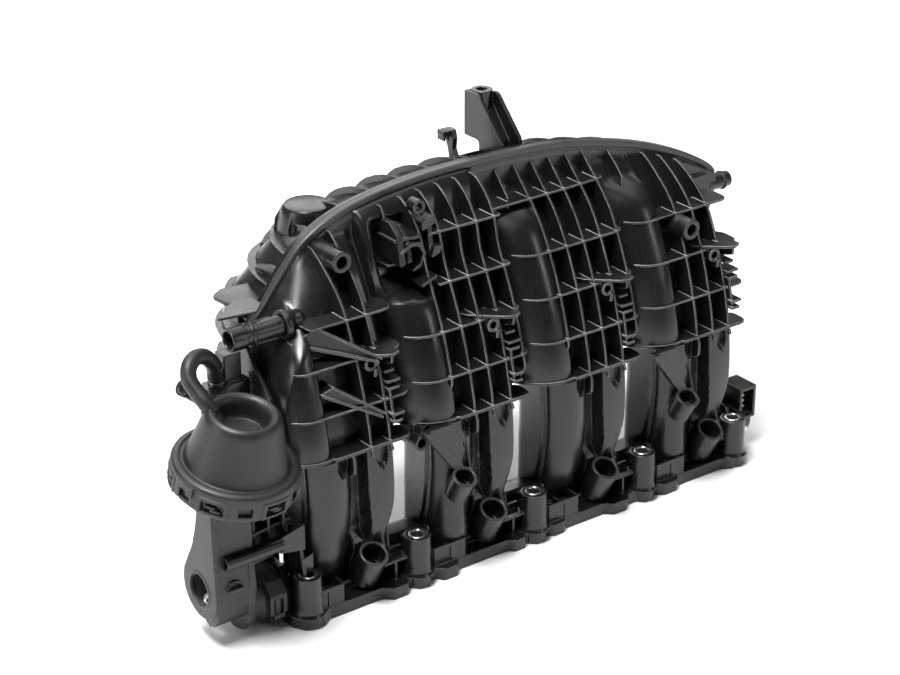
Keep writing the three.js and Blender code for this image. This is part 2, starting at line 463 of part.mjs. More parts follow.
// ------------------------------------------------------------ vacuum actuator
const at = h => ACT_C.clone().addScaledVector(ACT_D, -h);       // h below the top ring
{
  // dome with a recessed top
  const o = at(ACT_H_BASE);
  const dome = [[0, 20], [13, 20], [14.2, 31], [18, 32], [21.6, 28.5], [29.4, 0], [27, 0], [19.2, 27], [16.6, 28], [16.2, 17], [0, 17]];
  let d = lathe(dome.map(p => [p[0], p[1]]), o, ACT_D, 22);
  const n0 = V(-212.9, -3.2, 138.4), n1 = V(-214.65, -1.95, 146.2);
  d = union(d, cyl(n0, n1, 4.2, 10));
  d = cut(d, cyl(n0.clone().add(n0).sub(n1), n1.clone().multiplyScalar(1.2).addScaledVector(n0, -0.2), 1.6, 8));
  add('actuator_dome', d, 'grey');
  // lock ring with windows, outside the cup
  const r0 = at(ACT_H_BASE + 15);
  let rg = lathe([[34.3, 0], [36.6, 0], [36.6, 14.6], [30.6, 17], [30, 15.4], [33.6, 13.6], [34.3, 12.6]], r0, ACT_D, 24);
  const q = new THREE.Quaternion().setFromUnitVectors(V(0, 0, 1), ACT_D);
  for (let i = 0; i < 8; i++) {
    const a = i * Math.PI / 4 + 0.2;
    const g = new THREE.BoxGeometry(6, 9, 5.5).translate(35.5, 0, 0);
    g.applyMatrix4(new THREE.Matrix4().makeRotationZ(a)).translate(0, 0, 5);
    g.applyQuaternion(q).translate(r0.x, r0.y, r0.z);
    rg = cut(rg, solid(g));
  }
  add('actuator_lock_ring', rg, 'grey');
  // diaphragm clamped between dome and cup, plate, spring, rod
  const m = at(ACT_H_BASE);
  add('diaphragm', lathe([[0, -9.6], [20, -9.6], [23.5, -4.2], [27, -2.3], [31.6, -2.3], [31.6, -1.0], [26.4, -1.0], [22, -3], [18.8, -8], [0, -8]], m, ACT_D, 20), 'rubber');
  add('diaphragm_plate', lathe([[0, -7.6], [17, -7.6], [17.6, -5], [16.6, -5], [16, -6.4], [0, -6.4]], m, ACT_D, 24), 'metal');
  add('return_spring', lathe([[10.6, -6.0], [13.4, -6.0], [13.4, 16.4], [10.6, 16.4]], m, ACT_D, 20), 'metal');
  // cup with the bracket down to the shaft end
  const c0 = at(ACT_H_CUP);
  let cup = lathe([[4.3, 0], [30.5, 0], [34, 3], [34, 16], [31.2, 16], [31.2, 4.4], [29.6, 3], [4.3, 3]], c0, ACT_D, 24);
  const left = cut(union(prismX(disc(-3, 35.5, 18, 24), -226, -222.5), prismX([[-21, 36], [15, 36], [18, 60], [17, 92], [-19, 96], [-20, 60]], -226, -222.5)), prismX(disc(-3, 35.5, 9.5, 20), -230, -220));
  const frontW = prismX([[-21, 30], [-16.5, 30], [-14, 60], [-14.5, 94.5], [-18.5, 94.5], [-19, 60]], -225, -197);
  const ringW = cut(union(prismX(disc(0, SHAFT_Z, 17.6, 24), -203.4, -199.5), prismX([[-21, 30], [12, 30], [14, 60], [-4, 60], [-14, 94], [-18, 94], [-19, 60]], -203.4, -199.5)), prismX(disc(0, SHAFT_Z, 5, 16), -210, -190));
  const foot = cut(prismX([[-21, 36], [-19, 22], [-13, 14], [-8, 17.5], [-14, 24], [-16.5, 36]], -224, -201), box(-190, -180, 0, 1, 0, 1));
  const rearW = box(-226, -199.6, 19.6, 22, 24, 62);
  const web = box(-200.6, -168, -6, -3.6, 48, 90);
  const shell = union(left, frontW, ringW, foot, rearW, web);
  cup = union(cup, shell);
  // fork that holds the bracket to the flange side
  cup = union(cup, prismX([[17.5, 24], [22, 30], [22, 44], [12, 44], [12, 37]], -203.4, -176.2), prismX([[2, 31], [20, 31], [20, 44], [2, 44]], -203.4, -199.5));
  cup = cut(cup, lathe([[0, -1], [4.3, -1], [4.3, 4], [0, 4]], c0, ACT_D, 16), cyl(V(-228, -19.5, 57.5), V(-190, -19.5, 57.5), 4.3, 14));
  add('actuator_cup', cup, 'grey');
  add('rod_bush', cut(lathe([[2.9, -2.5], [4.0, -2.5], [4.0, 3.0], [6.2, 3.3], [6.2, 4.4], [2.9, 4.4]], c0, ACT_D, 16)), 'light');
  // rod with a slotted eye
  let rod = cyl(at(ACT_H_BASE + 10), at(128.6), 2.4, 12);
  rod = union(rod, cyl(at(108), at(122), 3.2, 12));
  const eyeG = raw(shapeOf(rrect(0, 0, 15.4, 11.4, 5.6, 4), [rrect(0, 0, 10, 5.9, 2.9, 3)]), 3.6).translate(0, 0, -1.8);
  const xx = V(1, 0, 0).addScaledVector(ACT_D, -ACT_D.x).normalize(), yx = new THREE.Vector3().crossVectors(ACT_D, xx);
  eyeG.applyMatrix4(new THREE.Matrix4().makeBasis(yx, ACT_D, xx.clone().negate()));
  const eyeC = at(133.4);
  rod = union(rod, solid(eyeG.translate(eyeC.x, eyeC.y, eyeC.z)));
  add('actuator_rod', rod, 'metal');
}
// lever on the shaft end, its pin runs in the slotted eye of the rod
{
  const py = LEVER_R * Math.cos(LEVER_REST), pz = SHAFT_Z + LEVER_R * Math.sin(LEVER_REST);
  let l = union(cyl(V(-206, 0, SHAFT_Z), V(-203.7, 0, SHAFT_Z), 5.6, 14), cyl(V(-206, py, pz), V(-203.7, py, pz), 4.2, 12),
    prismX([[-1.5, SHAFT_Z - 5], [py + 1.2, pz - 4], [py + 2.6, pz + 3.4], [1.5, SHAFT_Z + 5.4]], -206, -203.7));
  l = union(l, cyl(V(-213.6, py, pz), V(-204, py, pz), 2.3, 12), cyl(V(-214.8, py, pz), V(-213.4, py, pz), 3.4, 12));
  l = cut(l, cyl(V(-208, 0, SHAFT_Z), V(-202, 0, SHAFT_Z), SHAFT_R + GAP, 14));
  add('flap_lever', l, 'metal');
}
// round cap over the shaft end, with two ridges and a clip
{
  const X = V(1, 0, 0);
  add('lever_cap', lathe([[6, 0], [13.6, 0], [15.6, 2], [15.6, 7], [16.8, 8], [16.8, 17], [15.6, 18], [15.6, 22], [6, 22]], V(-199.2, 0, SHAFT_Z), X, 18), 'grey');
  let c = prismX([[-20.4, 12], [-17.2, 10], [-17.2, 25], [-20.4, 24]], -190, -178.5);
  c = cut(c, box(-187.5, -181, -22, -16, 14.5, 21));
  add('cap_clip', c, 'shell');
}
// vacuum hose with its fitting, and the vacuum nozzle above
{
  const pts = [[-215.4, -1.6, 149.6], [-216.8, 4, 154.6], [-218.2, 10, 161.2], [-214.9, 14, 166.6], [-209.1, 17, 169.2], [-201.5, 19, 168.2], [-195.5, 21, 161.3], [-193.3, 23, 153.8], [-192.5, 25, 146.5]];
  const curve = new THREE.CatmullRomCurve3(pts.map(p => V(...p)));
  const g = new THREE.ExtrudeGeometry(shapeOf(disc(0, 0, 4.5, 8), [disc(0, 0, 2.2, 6)]), { steps: 12, extrudePath: curve, bevelEnabled: false });
  add('vacuum_hose', solid(g), 'rubber');
  let f = union(box(-198.8, -176, 19.5, 31, 131, 143), cyl(V(-192.5, 25, 142.5), V(-192.5, 25, 144.8), 3.6, 12), box(-182, -171.6, 22, 30, 118, 143), cyl(V(-197, 21, 134), V(-218.6, 16, 152.9), 4.4, 12));
  f = cut(f, cyl(V(-192.5, 25, 147), V(-192.5, 25, 135), 1.6, 8));
  add('hose_fitting', f, 'shell');
  const n = cut(lathe([[0, 0], [6.8, 0], [7.1, 1.5], [7.1, 9.5], [6.3, 10.5], [6.3, 34], [4.9, 34.6], [4.9, 47], [0, 47]], V(-188, 18, 172), V(1, 0, 0), 16), cyl(V(-190, 18, 172), V(-139, 18, 172), 3.3, 12), cyl(V(-190, 18, 172), V(-180, 18, 172), 4.9, 14));
  add('vacuum_nozzle', n, 'shell');
}
// flap position sensor at the right end
{
  const y = 0;
  let h = union(cyl(V(177.6, y, SHAFT_Z), V(192, y, SHAFT_Z), 12.5, 18), box(178.4, 192.6, -15, 4, 23, 46), prismX(rrect(0.5, 19, 42, 24, 6, 2), 176.2, 179.2));
  h = cut(h, cyl(V(170, y, SHAFT_Z), V(189.8, y, SHAFT_Z), 9.4, 16), box(180.8, 190.4, -16, -3, 25, 43.4));
  h = cut(h, [-16.5, 17.5].map(a => cyl(V(175, a, 19), V(180, a, 19), 2.4, 10)));
  add('sensor_housing', h, 'shell');
  add('sensor_rotor', ring(V(183, y, SHAFT_Z), V(187.6, y, SHAFT_Z), 8.2, SHAFT_R + GAP, 16), 'light');
  add('sensor_seal', ring(V(176.3, y, SHAFT_Z), V(178.6, y, SHAFT_Z), 9.1, 7.2, 16), 'seal');
  [-16.5, 17.5].forEach((a, i) => add(`sensor_screw_${i + 1}`, union(cyl(V(176.1, a, 19), V(179.6, a, 19), 2.1, 10), cyl(V(179.5, a, 19), V(182.2, a, 19), 3.4, 10)), 'metal'));
  let t = box(182.4, 188.8, -4.9, -3.4, 29.4, 39.6);
  for (const z of [30.6, 34.5, 38.4]) t = union(t, box(185, 186.2, -10.5, -4, z - 0.6, z + 0.6));
  add('sensor_terminals', t, 'brass');
}

export default group;
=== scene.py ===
import bpy, bmesh, math, json
from mathutils import Vector, Matrix


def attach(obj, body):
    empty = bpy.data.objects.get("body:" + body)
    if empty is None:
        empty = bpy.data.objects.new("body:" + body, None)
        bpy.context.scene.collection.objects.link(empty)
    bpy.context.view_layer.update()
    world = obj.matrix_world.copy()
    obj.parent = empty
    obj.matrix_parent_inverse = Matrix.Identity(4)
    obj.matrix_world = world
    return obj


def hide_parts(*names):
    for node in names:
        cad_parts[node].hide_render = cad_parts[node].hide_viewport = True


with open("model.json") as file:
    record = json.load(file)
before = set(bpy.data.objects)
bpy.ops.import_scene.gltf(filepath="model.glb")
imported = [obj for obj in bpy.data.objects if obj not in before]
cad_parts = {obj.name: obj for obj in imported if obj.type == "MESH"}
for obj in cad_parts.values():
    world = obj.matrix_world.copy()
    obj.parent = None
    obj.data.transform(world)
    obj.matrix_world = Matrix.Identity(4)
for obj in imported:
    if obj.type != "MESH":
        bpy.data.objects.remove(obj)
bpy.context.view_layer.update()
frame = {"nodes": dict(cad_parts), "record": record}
MM = 0.001

# ------------------------------------------------------------------ camera
cam_d = bpy.data.cameras.new("camera")
cam = bpy.data.objects.new("camera", cam_d)
bpy.context.scene.collection.objects.link(cam)
cam.location = (-0.787, -0.992, 0.7214)
cam.rotation_euler = (math.radians(64.892), 0, math.radians(-36.71))
cam_d.lens = 92.95
cam_d.sensor_width = 36
cam_d.clip_start = 0.05
bpy.context.scene.camera = cam
bpy.context.scene.view_settings.view_transform = 'Standard'
bpy.context.scene.view_settings.look = 'None'

# --------------------------------------------------------------- materials
def sock(node, name, v):
    node.inputs[name].default_value = v

def moulded(name, dark, light, rough, grain=900.0, bump=0.12, edge=0.07, streak=0.5):
    """Moulded glass-filled plastic: fine grain, flow streaks, rounded edges with a painted highlight along them."""
    m = bpy.data.materials.new(name)
    m.use_nodes = True
    t = m.node_tree
    n, l = t.nodes, t.links
    p = n["Principled BSDF"]
    co = n.new("ShaderNodeTexCoord")
    fine = n.new("ShaderNodeTexNoise"); sock(fine, "Scale", grain); sock(fine, "Detail", 3.0)
    l.new(co.outputs["Object"], fine.inputs["Vector"])
    mp = n.new("ShaderNodeMapping"); mp.inputs["Scale"].default_value = (60, 60, 9)
    l.new(co.outputs["Object"], mp.inputs["Vector"])
    flow = n.new("ShaderNodeTexNoise"); sock(flow, "Scale", 1.0); sock(flow, "Detail", 4.0); sock(flow, "Roughness", 0.6)
    l.new(mp.outputs["Vector"], flow.inputs["Vector"])
    ramp = n.new("ShaderNodeMix"); ramp.data_type = 'RGBA'
    ramp.inputs[6].default_value = (*dark, 1); ramp.inputs[7].default_value = (*light, 1)
    l.new(flow.outputs["Fac"], ramp.inputs[0])
    # painted highlight along edges: the base colour turns pale where the bevel normal leaves the true normal, broken
    # up by noise
    bv = n.new("ShaderNodeBevel"); bv.samples = 4; sock(bv, "Radius", 0.0007)
    geo = n.new("ShaderNodeNewGeometry")
    dot = n.new("ShaderNodeVectorMath"); dot.operation = 'DOT_PRODUCT'
    l.new(bv.outputs["Normal"], dot.inputs[0]); l.new(geo.outputs["Normal"], dot.inputs[1])
    em = n.new("ShaderNodeMapRange"); sock(em, "From Min", 0.985); sock(em, "From Max", 0.86); sock(em, "To Min", 0.0); sock(em, "To Max", 1.0)
    l.new(dot.outputs["Value"], em.inputs["Value"])
    edge_highlight_mask = n.new("ShaderNodeMath"); edge_highlight_mask.operation = 'MULTIPLY'
    wn = n.new("ShaderNodeTexNoise"); sock(wn, "Scale", 55.0); sock(wn, "Detail", 3.0)
    l.new(co.outputs["Object"], wn.inputs["Vector"])
    l.new(em.outputs["Result"], edge_highlight_mask.inputs[0]); l.new(wn.outputs["Fac"], edge_highlight_mask.inputs[1])
    mix = n.new("ShaderNodeMix"); mix.data_type = 'RGBA'
    mix.inputs[7].default_value = (edge, edge, edge * 1.02, 1)
    l.new(edge_highlight_mask.outputs["Value"], mix.inputs[0]); l.new(ramp.outputs[2], mix.inputs[6])
    l.new(mix.outputs[2], p.inputs["Base Color"])
    rr = n.new("ShaderNodeMapRange"); sock(rr, "From Min", 0.3); sock(rr, "From Max", 0.7)
    sock(rr, "To Min", rough - 0.06); sock(rr, "To Max", rough + 0.08)
    l.new(flow.outputs["Fac"], rr.inputs["Value"]); l.new(rr.outputs["Result"], p.inputs["Roughness"])
    bp = n.new("ShaderNodeBump"); sock(bp, "Strength", bump); sock(bp, "Distance", 0.0002)
    l.new(fine.outputs["Fac"], bp.inputs["Height"]); l.new(bv.outputs["Normal"], bp.inputs["Normal"])
    l.new(bp.outputs["Normal"], p.inputs["Normal"])
    return m

def metal(name, a, b, rough, scale):
    m = bpy.data.materials.new(name)
    m.use_nodes = True
    t = m.node_tree
    n, l = t.nodes, t.links
    p = n["Principled BSDF"]
    p.inputs["Metallic"].default_value = 1.0
    co = n.new("ShaderNodeTexCoord")
    mp = n.new("ShaderNodeMapping"); mp.inputs["Scale"].default_value = (scale, scale, scale * 0.12)
    l.new(co.outputs["Object"], mp.inputs["Vector"])
    no = n.new("ShaderNodeTexNoise"); sock(no, "Scale", 1.0); sock(no, "Detail", 5.0)
    l.new(mp.outputs["Vector"], no.inputs["Vector"])
    mix = n.new("ShaderNodeMix"); mix.data_type = 'RGBA'
    mix.inputs[6].default_value = (*a, 1); mix.inputs[7].default_value = (*b, 1)
    l.new(no.outputs["Fac"], mix.inputs[0]); l.new(mix.outputs[2], p.inputs["Base Color"])
    rr = n.new("ShaderNodeMapRange"); sock(rr, "To Min", rough - 0.07); sock(rr, "To Max", rough + 0.12)
    l.new(no.outputs["Fac"], rr.inputs["Value"]); l.new(rr.outputs["Result"], p.inputs["Roughness"])
    bp = n.new("ShaderNodeBump"); sock(bp, "Strength", 0.08); sock(bp, "Distance", 0.0002)
    l.new(no.outputs["Fac"], bp.inputs["Height"]); l.new(bp.outputs["Normal"], p.inputs["Normal"])
    return m

# the last number of each moulded finish is the pale grey of its painted edge highlight; the ribs get the palest
M = {
    "shell": moulded("black_nylon", (0.0055, 0.0056, 0.0062), (0.0095, 0.0096, 0.0105), 0.27, 1400.0, 0.05, 0.20),
    "grey": moulded("charcoal_nylon", (0.0095, 0.0097, 0.0105), (0.0145, 0.0148, 0.0158), 0.44, 1600.0, 0.20, 0.09),
    # rim: a lighter copy of the black nylon, a painted highlight for the bright band along the weld rim
    "rim": moulded("rim_nylon", (0.022, 0.022, 0.024), (0.045, 0.045, 0.047), 0.34, 1200.0, 0.10, 0.30),
    "rib": moulded("rib_nylon", (0.0055, 0.0056, 0.0060), (0.0095, 0.0096, 0.0105), 0.34, 1400.0, 0.06, 0.85),
    "rubber": moulded("hose_rubber", (0.008, 0.008, 0.0085), (0.013, 0.013, 0.0135), 0.46, 2000.0, 0.2, 0.05),
    "seal": moulded("seal_rubber", (0.16, 0.035, 0.02), (0.22, 0.05, 0.03), 0.55, 1500.0, 0.2, 0.3),
    "light": moulded("acetal", (0.50, 0.47, 0.38), (0.60, 0.57, 0.48), 0.42, 1500.0, 0.1, 0.7),
    "metal": metal("zinc_steel", (0.52, 0.52, 0.53), (0.68, 0.68, 0.69), 0.28, 900.0),
    "brass": metal("brass", (0.55, 0.38, 0.14), (0.70, 0.52, 0.24), 0.30, 900.0),
}
slot_of = {s["node"]: s["material_slot"] for s in frame["record"]["subparts"]}
for name, o in frame["nodes"].items():
    o.data.materials.clear()
    o.data.materials.append(M[slot_of[name]])

# ------------------------------------------------------------ mesh helpers
class Acc:
    def __init__(self):
        self.v, self.f = [], []
    def add(self, verts, faces):
        k = len(self.v)
        self.v += [tuple(p) for p in verts]
        self.f += [tuple(i + k for i in f) for f in faces]

def area(p):
    return sum(p[i][0] * p[(i + 1) % len(p)][1] - p[(i + 1) % len(p)][0] * p[i][1] for i in range(len(p))) / 2

def rounded(pts, r, n=3):
    """Corners of a closed outline rounded with radius r (a number, or one per corner)."""
    out, m = [], len(pts)
    for i in range(m):
        a, b, c = Vector(pts[i - 1]), Vector(pts[i]), Vector(pts[(i + 1) % m])
        rad = r[i] if isinstance(r, (list, tuple)) else r
        u, w = (a - b), (c - b)
        lu, lw = u.length, w.length
        if rad <= 0 or lu < 1e-6 or lw < 1e-6:
            out.append(tuple(b)); continue
        u.normalize(); w.normalize()
        ang = math.acos(max(-1, min(1, u.dot(w))))
        if ang > math.radians(176):
            out.append(tuple(b)); continue
        d = min(rad / math.tan(ang / 2), 0.45 * lu, 0.45 * lw)
        p0, p1 = b + u * d, b + w * d
        for j in range(n + 1):
            s = j / n
            q = p0 * (1 - s) ** 2 + b * 2 * s * (1 - s) + p1 * s * s
            out.append((q.x, q.y))
    return out

def offset(pts, d):
    """Closed counter-clockwise outline moved inwards by d."""
    m, out = len(pts), []
    for i in range(m):
        a, b, c = pts[i - 1], pts[i], pts[(i + 1) % m]
        u = Vector((b[0] - a[0], b[1] - a[1])); w = Vector((c[0] - b[0], c[1] - b[1]))
        if u.length < 1e-9 or w.length < 1e-9:
            out.append(b); continue
        u.normalize(); w.normalize()
        nu, nw = Vector((-u.y, u.x)), Vector((-w.y, w.x))
        q = nu + nw
        if q.length < 1e-6:
            out.append(b); continue
        q.normalize()
        k = d / max(0.5, q.dot(nu))
        out.append((b[0] + q.x * k, b[1] + q.y * k))
    return out

def place(p, axis, h):
    if axis == 'x': return (h, p[0], p[1])
    if axis == 'y': return (p[0], h, p[1])
    return (p[0], p[1], h)

def loft(acc, secs, closed=False):
    """Rings of points, the same count each, joined in order, with end caps."""
    n = len(secs[0])
    v = [p for s in secs for p in s]
    f = []
    m = len(secs)
    for i in range(m if closed else m - 1):
        for j in range(n):
            a, b = i * n + j, i * n + (j + 1) % n
            c, d = ((i + 1) % m) * n + (j + 1) % n, ((i + 1) % m) * n + j
            f.append((a, b, c, d))
    if not closed:
        f.append(tuple(range(n - 1, -1, -1)))
        f.append(tuple((m - 1) * n + j for j in range(n)))
    acc.add(v, f)

def prism(acc, pts, axis, a, b, e=0.35, r=0.0, n=3, xf=None):
    """Outline run along an axis from a to b, with rounded end edges."""
    if area(pts) < 0:
        pts = pts[::-1]
    if r:
        pts = rounded(pts, r, n)
    e = min(e, (b - a) * 0.45)
    rings = []
    steps = [(0, 1.0), (0.3, 0.29), (1.0, 0.0)]
    for h, s in steps:
        rings.append((offset(pts, e * s), a + e * h))
    for h, s in reversed(steps):
        rings.append((offset(pts, e * s), b - e * h))
    secs = [[place(p, axis, h) for p in q] for q, h in rings]
    if axis == 'y':
        secs = [s[::-1] for s in secs]
    if xf is not None:
        secs = [[tuple(xf @ Vector(p)) for p in s] for s in secs]
    loft(acc, secs)

def basis(o, d):
    d = Vector(d).normalized()
    return Matrix.Translation(Vector(o)) @ Vector((0, 0, 1)).rotation_difference(d).to_matrix().to_4x4()

def turned(acc, prof, o, d, seg=48, a0=0.0, a1=2 * math.pi):
    """Profile [radius, height] turned about the line through o along d. A closed profile makes a ring."""
    x = basis(o, d)
    full = abs(a1 - a0 - 2 * math.pi) < 1e-6
    k = seg if full else seg + 1
    secs = []
    for i in range(k):
        t = a0 + (a1 - a0) * i / seg
        secs.append([tuple(x @ Vector((r * math.cos(t), r * math.sin(t), h))) for r, h in prof])
    loft(acc, secs, closed=full)

def ring_prof(ro, ri, h0, h1, c=0.4):
    return [(ri, h0 + c), (ri + c, h0), (ro - c, h0), (ro, h0 + c), (ro, h1 - c), (ro - c * .3, h1 - c * .3), (ro - c, h1), (ri + c, h1), (ri + c * .3, h1 - c * .3), (ri, h1 - c)]

def tube(acc, a, b, ro, ri, seg=36, c=0.35):
    d = Vector(b) - Vector(a)
    turned(acc, ring_prof(ro, ri, 0, d.length, c), a, d, seg)

def rod(acc, a, b, r0, r1=None, seg=36, c=0.35):
    r1 = r0 if r1 is None else r1
    d = Vector(b) - Vector(a)
    L = d.length
    prof = [(0.01, 0), (r0 - c, 0), (r0 - c * .3, c * .3), (r0, c), (r1, L - c), (r1 - c * .3, L - c * .3), (r1 - c, L), (0.01, L)]
    turned(acc, prof, a, d, seg)

def tabf(t):
    """Smooth curve through a table of (v, f)."""
    n = len(t)
    def g(v):
        if v <= t[0][0]:
            s = (t[1][1] - t[0][1]) / (t[1][0] - t[0][0])
            return t[0][1] + s * (v - t[0][0])
        for i in range(n - 1):
            if v <= t[i + 1][0]:
                x0, y0 = t[i]; x1, y1 = t[i + 1]
                s = (y1 - y0) / (x1 - x0)
                m0 = s if i == 0 else (y1 - t[i - 1][1]) / (x1 - t[i - 1][0])
                m1 = s if i + 2 >= n else (t[i + 2][1] - y0) / (t[i + 2][0] - x0)
                h = x1 - x0; u = (v - x0) / h
                return ((2 * u**3 - 3 * u**2 + 1) * y0 + (u**3 - 2 * u**2 + u) * h * m0 + (-2 * u**3 + 3 * u**2) * y1 + (u**3 - u**2) * h * m1)
        s = (t[-1][1] - t[-2][1]) / (t[-1][0] - t[-2][0])
        return t[-1][1] + s * (v - t[-1][0])
    return g

def sm(a, b, v):
    u = max(0.0, min(1.0, (v - a) / (b - a)))
    return u * u * (3 - 2 * u)

def finish_piece(name, acc, mat, body="manifold", nodes=(), angle=38):
    me = bpy.data.meshes.new(name)
    me.from_pydata([(x * MM, y * MM, z * MM) for x, y, z in acc.v], [], acc.f)
    me.validate()
    bm = bmesh.new()
    bm.from_mesh(me)
    bmesh.ops.recalc_face_normals(bm, faces=list(bm.faces))
    bm.to_mesh(me)
    bm.free()
    me.polygons.foreach_set("use_smooth", [True] * len(me.polygons))
    me.set_sharp_from_angle(angle=math.radians(angle))
    me.materials.append(M[mat] if isinstance(mat, str) else mat)
    o = bpy.data.objects.new(name, me)
    bpy.context.scene.collection.objects.link(o)
    w = o.modifiers.new("wn", 'WEIGHTED_NORMAL'); w.keep_sharp = True; w.weight = 60
    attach(o, body)
    if nodes:
        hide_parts(*nodes)
    return o

# --------------------------------------------------------------- dimensions
PX = [-132, -44, 44, 132]
BX = [-165.6, -88, 0, 88, 165.6]
BY = -22
REL = [-13.35, 0, 13.35, 26.7, 40]
EDGE = tabf([(96, -21), (108, -19.5), (124, -15.5), (141, -10.5), (158, -4), (176, 4.5), (189, 12), (204, 23.5), (218, 36), (224, 43)])
EDGE_B = tabf([(96, -21), (108, -19.5), (124, -15.5), (141, -10.5), (158, -4), (176, 4.5), (189, 10.5), (205, 13.5), (218, 16), (226, 20), (229, 28)])
def E(k, z):
    return EDGE_B(z) if k == 1 else EDGE(z)
def Ex(x, z):
    """Rib edge over x, eased from one runner to the next."""
    a, b = EDGE(z), EDGE_B(z)
    w = sm(-91, -85, x) * (1 - sm(-3, 3, x))
    return a * (1 - w) + b * w
def kof(x):
    return max(0, min(3, int((x + 176) // 88)))
FLOOR = 13.5
def skin_depth(rel):
    lobe = 1.4 + 0.027 * (rel + 19.5) ** 2
    w = sm(-12.6, -9.6, rel)
    d = lobe * (1 - w) + FLOOR * w
    return d + sm(37.5, 44, rel) * 7.5
DOME_Z = [170, 160, 186, 180]
def dome(z, z0, w):
    u = max(0.0, min(1.0, (z - z0) / w))
    return 1 - math.sqrt(1 - u * u)
def depth_at(k, rel, z):
    d = skin_depth(rel)
    f = dome(z, DOME_Z[k], 16) * (1 - sm(-13, -9.6, rel))
    d = d + (FLOOR - d) * f
    if k == 1:       # clip recess on the shoulder of the second runner
        c = sm(-37.5, -35.5, rel) * (1 - sm(-9, -7, rel)) * sm(169, 173, z) * (1 - sm(208, 214, z))
        d += 11.0 * c
    return d
SWEEP = 30.0
def to_rim(x, y, z):
    """Carries a surface back to the rim over its last stretch."""
    T = ztop0(x) - 5.0
    w = 11.0 + (SWEEP - 11.0) * sm(-156, -130, x)
    return y + (41.0 - y) * dome(z, T - w, w) if y < 41.0 else y
def S(x, z):
    k = kof(x)
    return min(40.5, to_rim(x, Ex(x, z) + depth_at(k, x - PX[k], z), z))

RIM = [(-166, 103), (150, 103), (168, 112), (180, 132), (192, 158), (198, 174), (195, 182), (178, 193),
       (154, 204), (128, 213), (98, 220.5), (68, 226.5), (34, 229.3), (0, 230), (-34, 229.5),
       (-66, 226.5), (-90, 222), (-109, 215.5), (-124, 206.5), (-136, 194), (-148, 178), (-160, 162.5), (-167, 140)]
ZT = {}
def ztop0(x):
    q = round(x * 4)
    if q not in ZT: ZT[q] = ztop(x)
    return ZT[q]
def smooth_outline(pts, keep, m=4):
    """Catmull-Rom through the outline, with the corners in keep left sharp."""
    n, out = len(pts), []
    for i in range(n):
        p0, p1, p2, p3 = pts[i - 1], pts[i], pts[(i + 1) % n], pts[(i + 2) % n]
        if i in keep: p0 = p1
        if (i + 1) % n in keep: p3 = p2
        for j in range(m):
            t = j / m
            q = []
            for a in (0, 1):
                q.append(0.5 * (2 * p1[a] + (p2[a] - p0[a]) * t + (2 * p0[a] - 5 * p1[a] + 4 * p2[a] - p3[a]) * t * t + (3 * p1[a] - p0[a] - 3 * p2[a] + p3[a]) * t ** 3))
            out.append(tuple(q))
    return out
RIMS = smooth_outline(RIM, {0, 1})
def ztop(x):
    """Top of the rim outline over x."""
    best = 103
    m = len(RIMS)
    for i in range(m):
        a, b = RIMS[i], RIMS[(i + 1) % m]
        lo, hi = (a, b) if a[0] <= b[0] else (b, a)
        if lo[0] <= x <= hi[0] and hi[0] > lo[0]:
            best = max(best, lo[1] + (hi[1] - lo[1]) * (x - lo[0]) / (hi[0] - lo[0]))
    return best


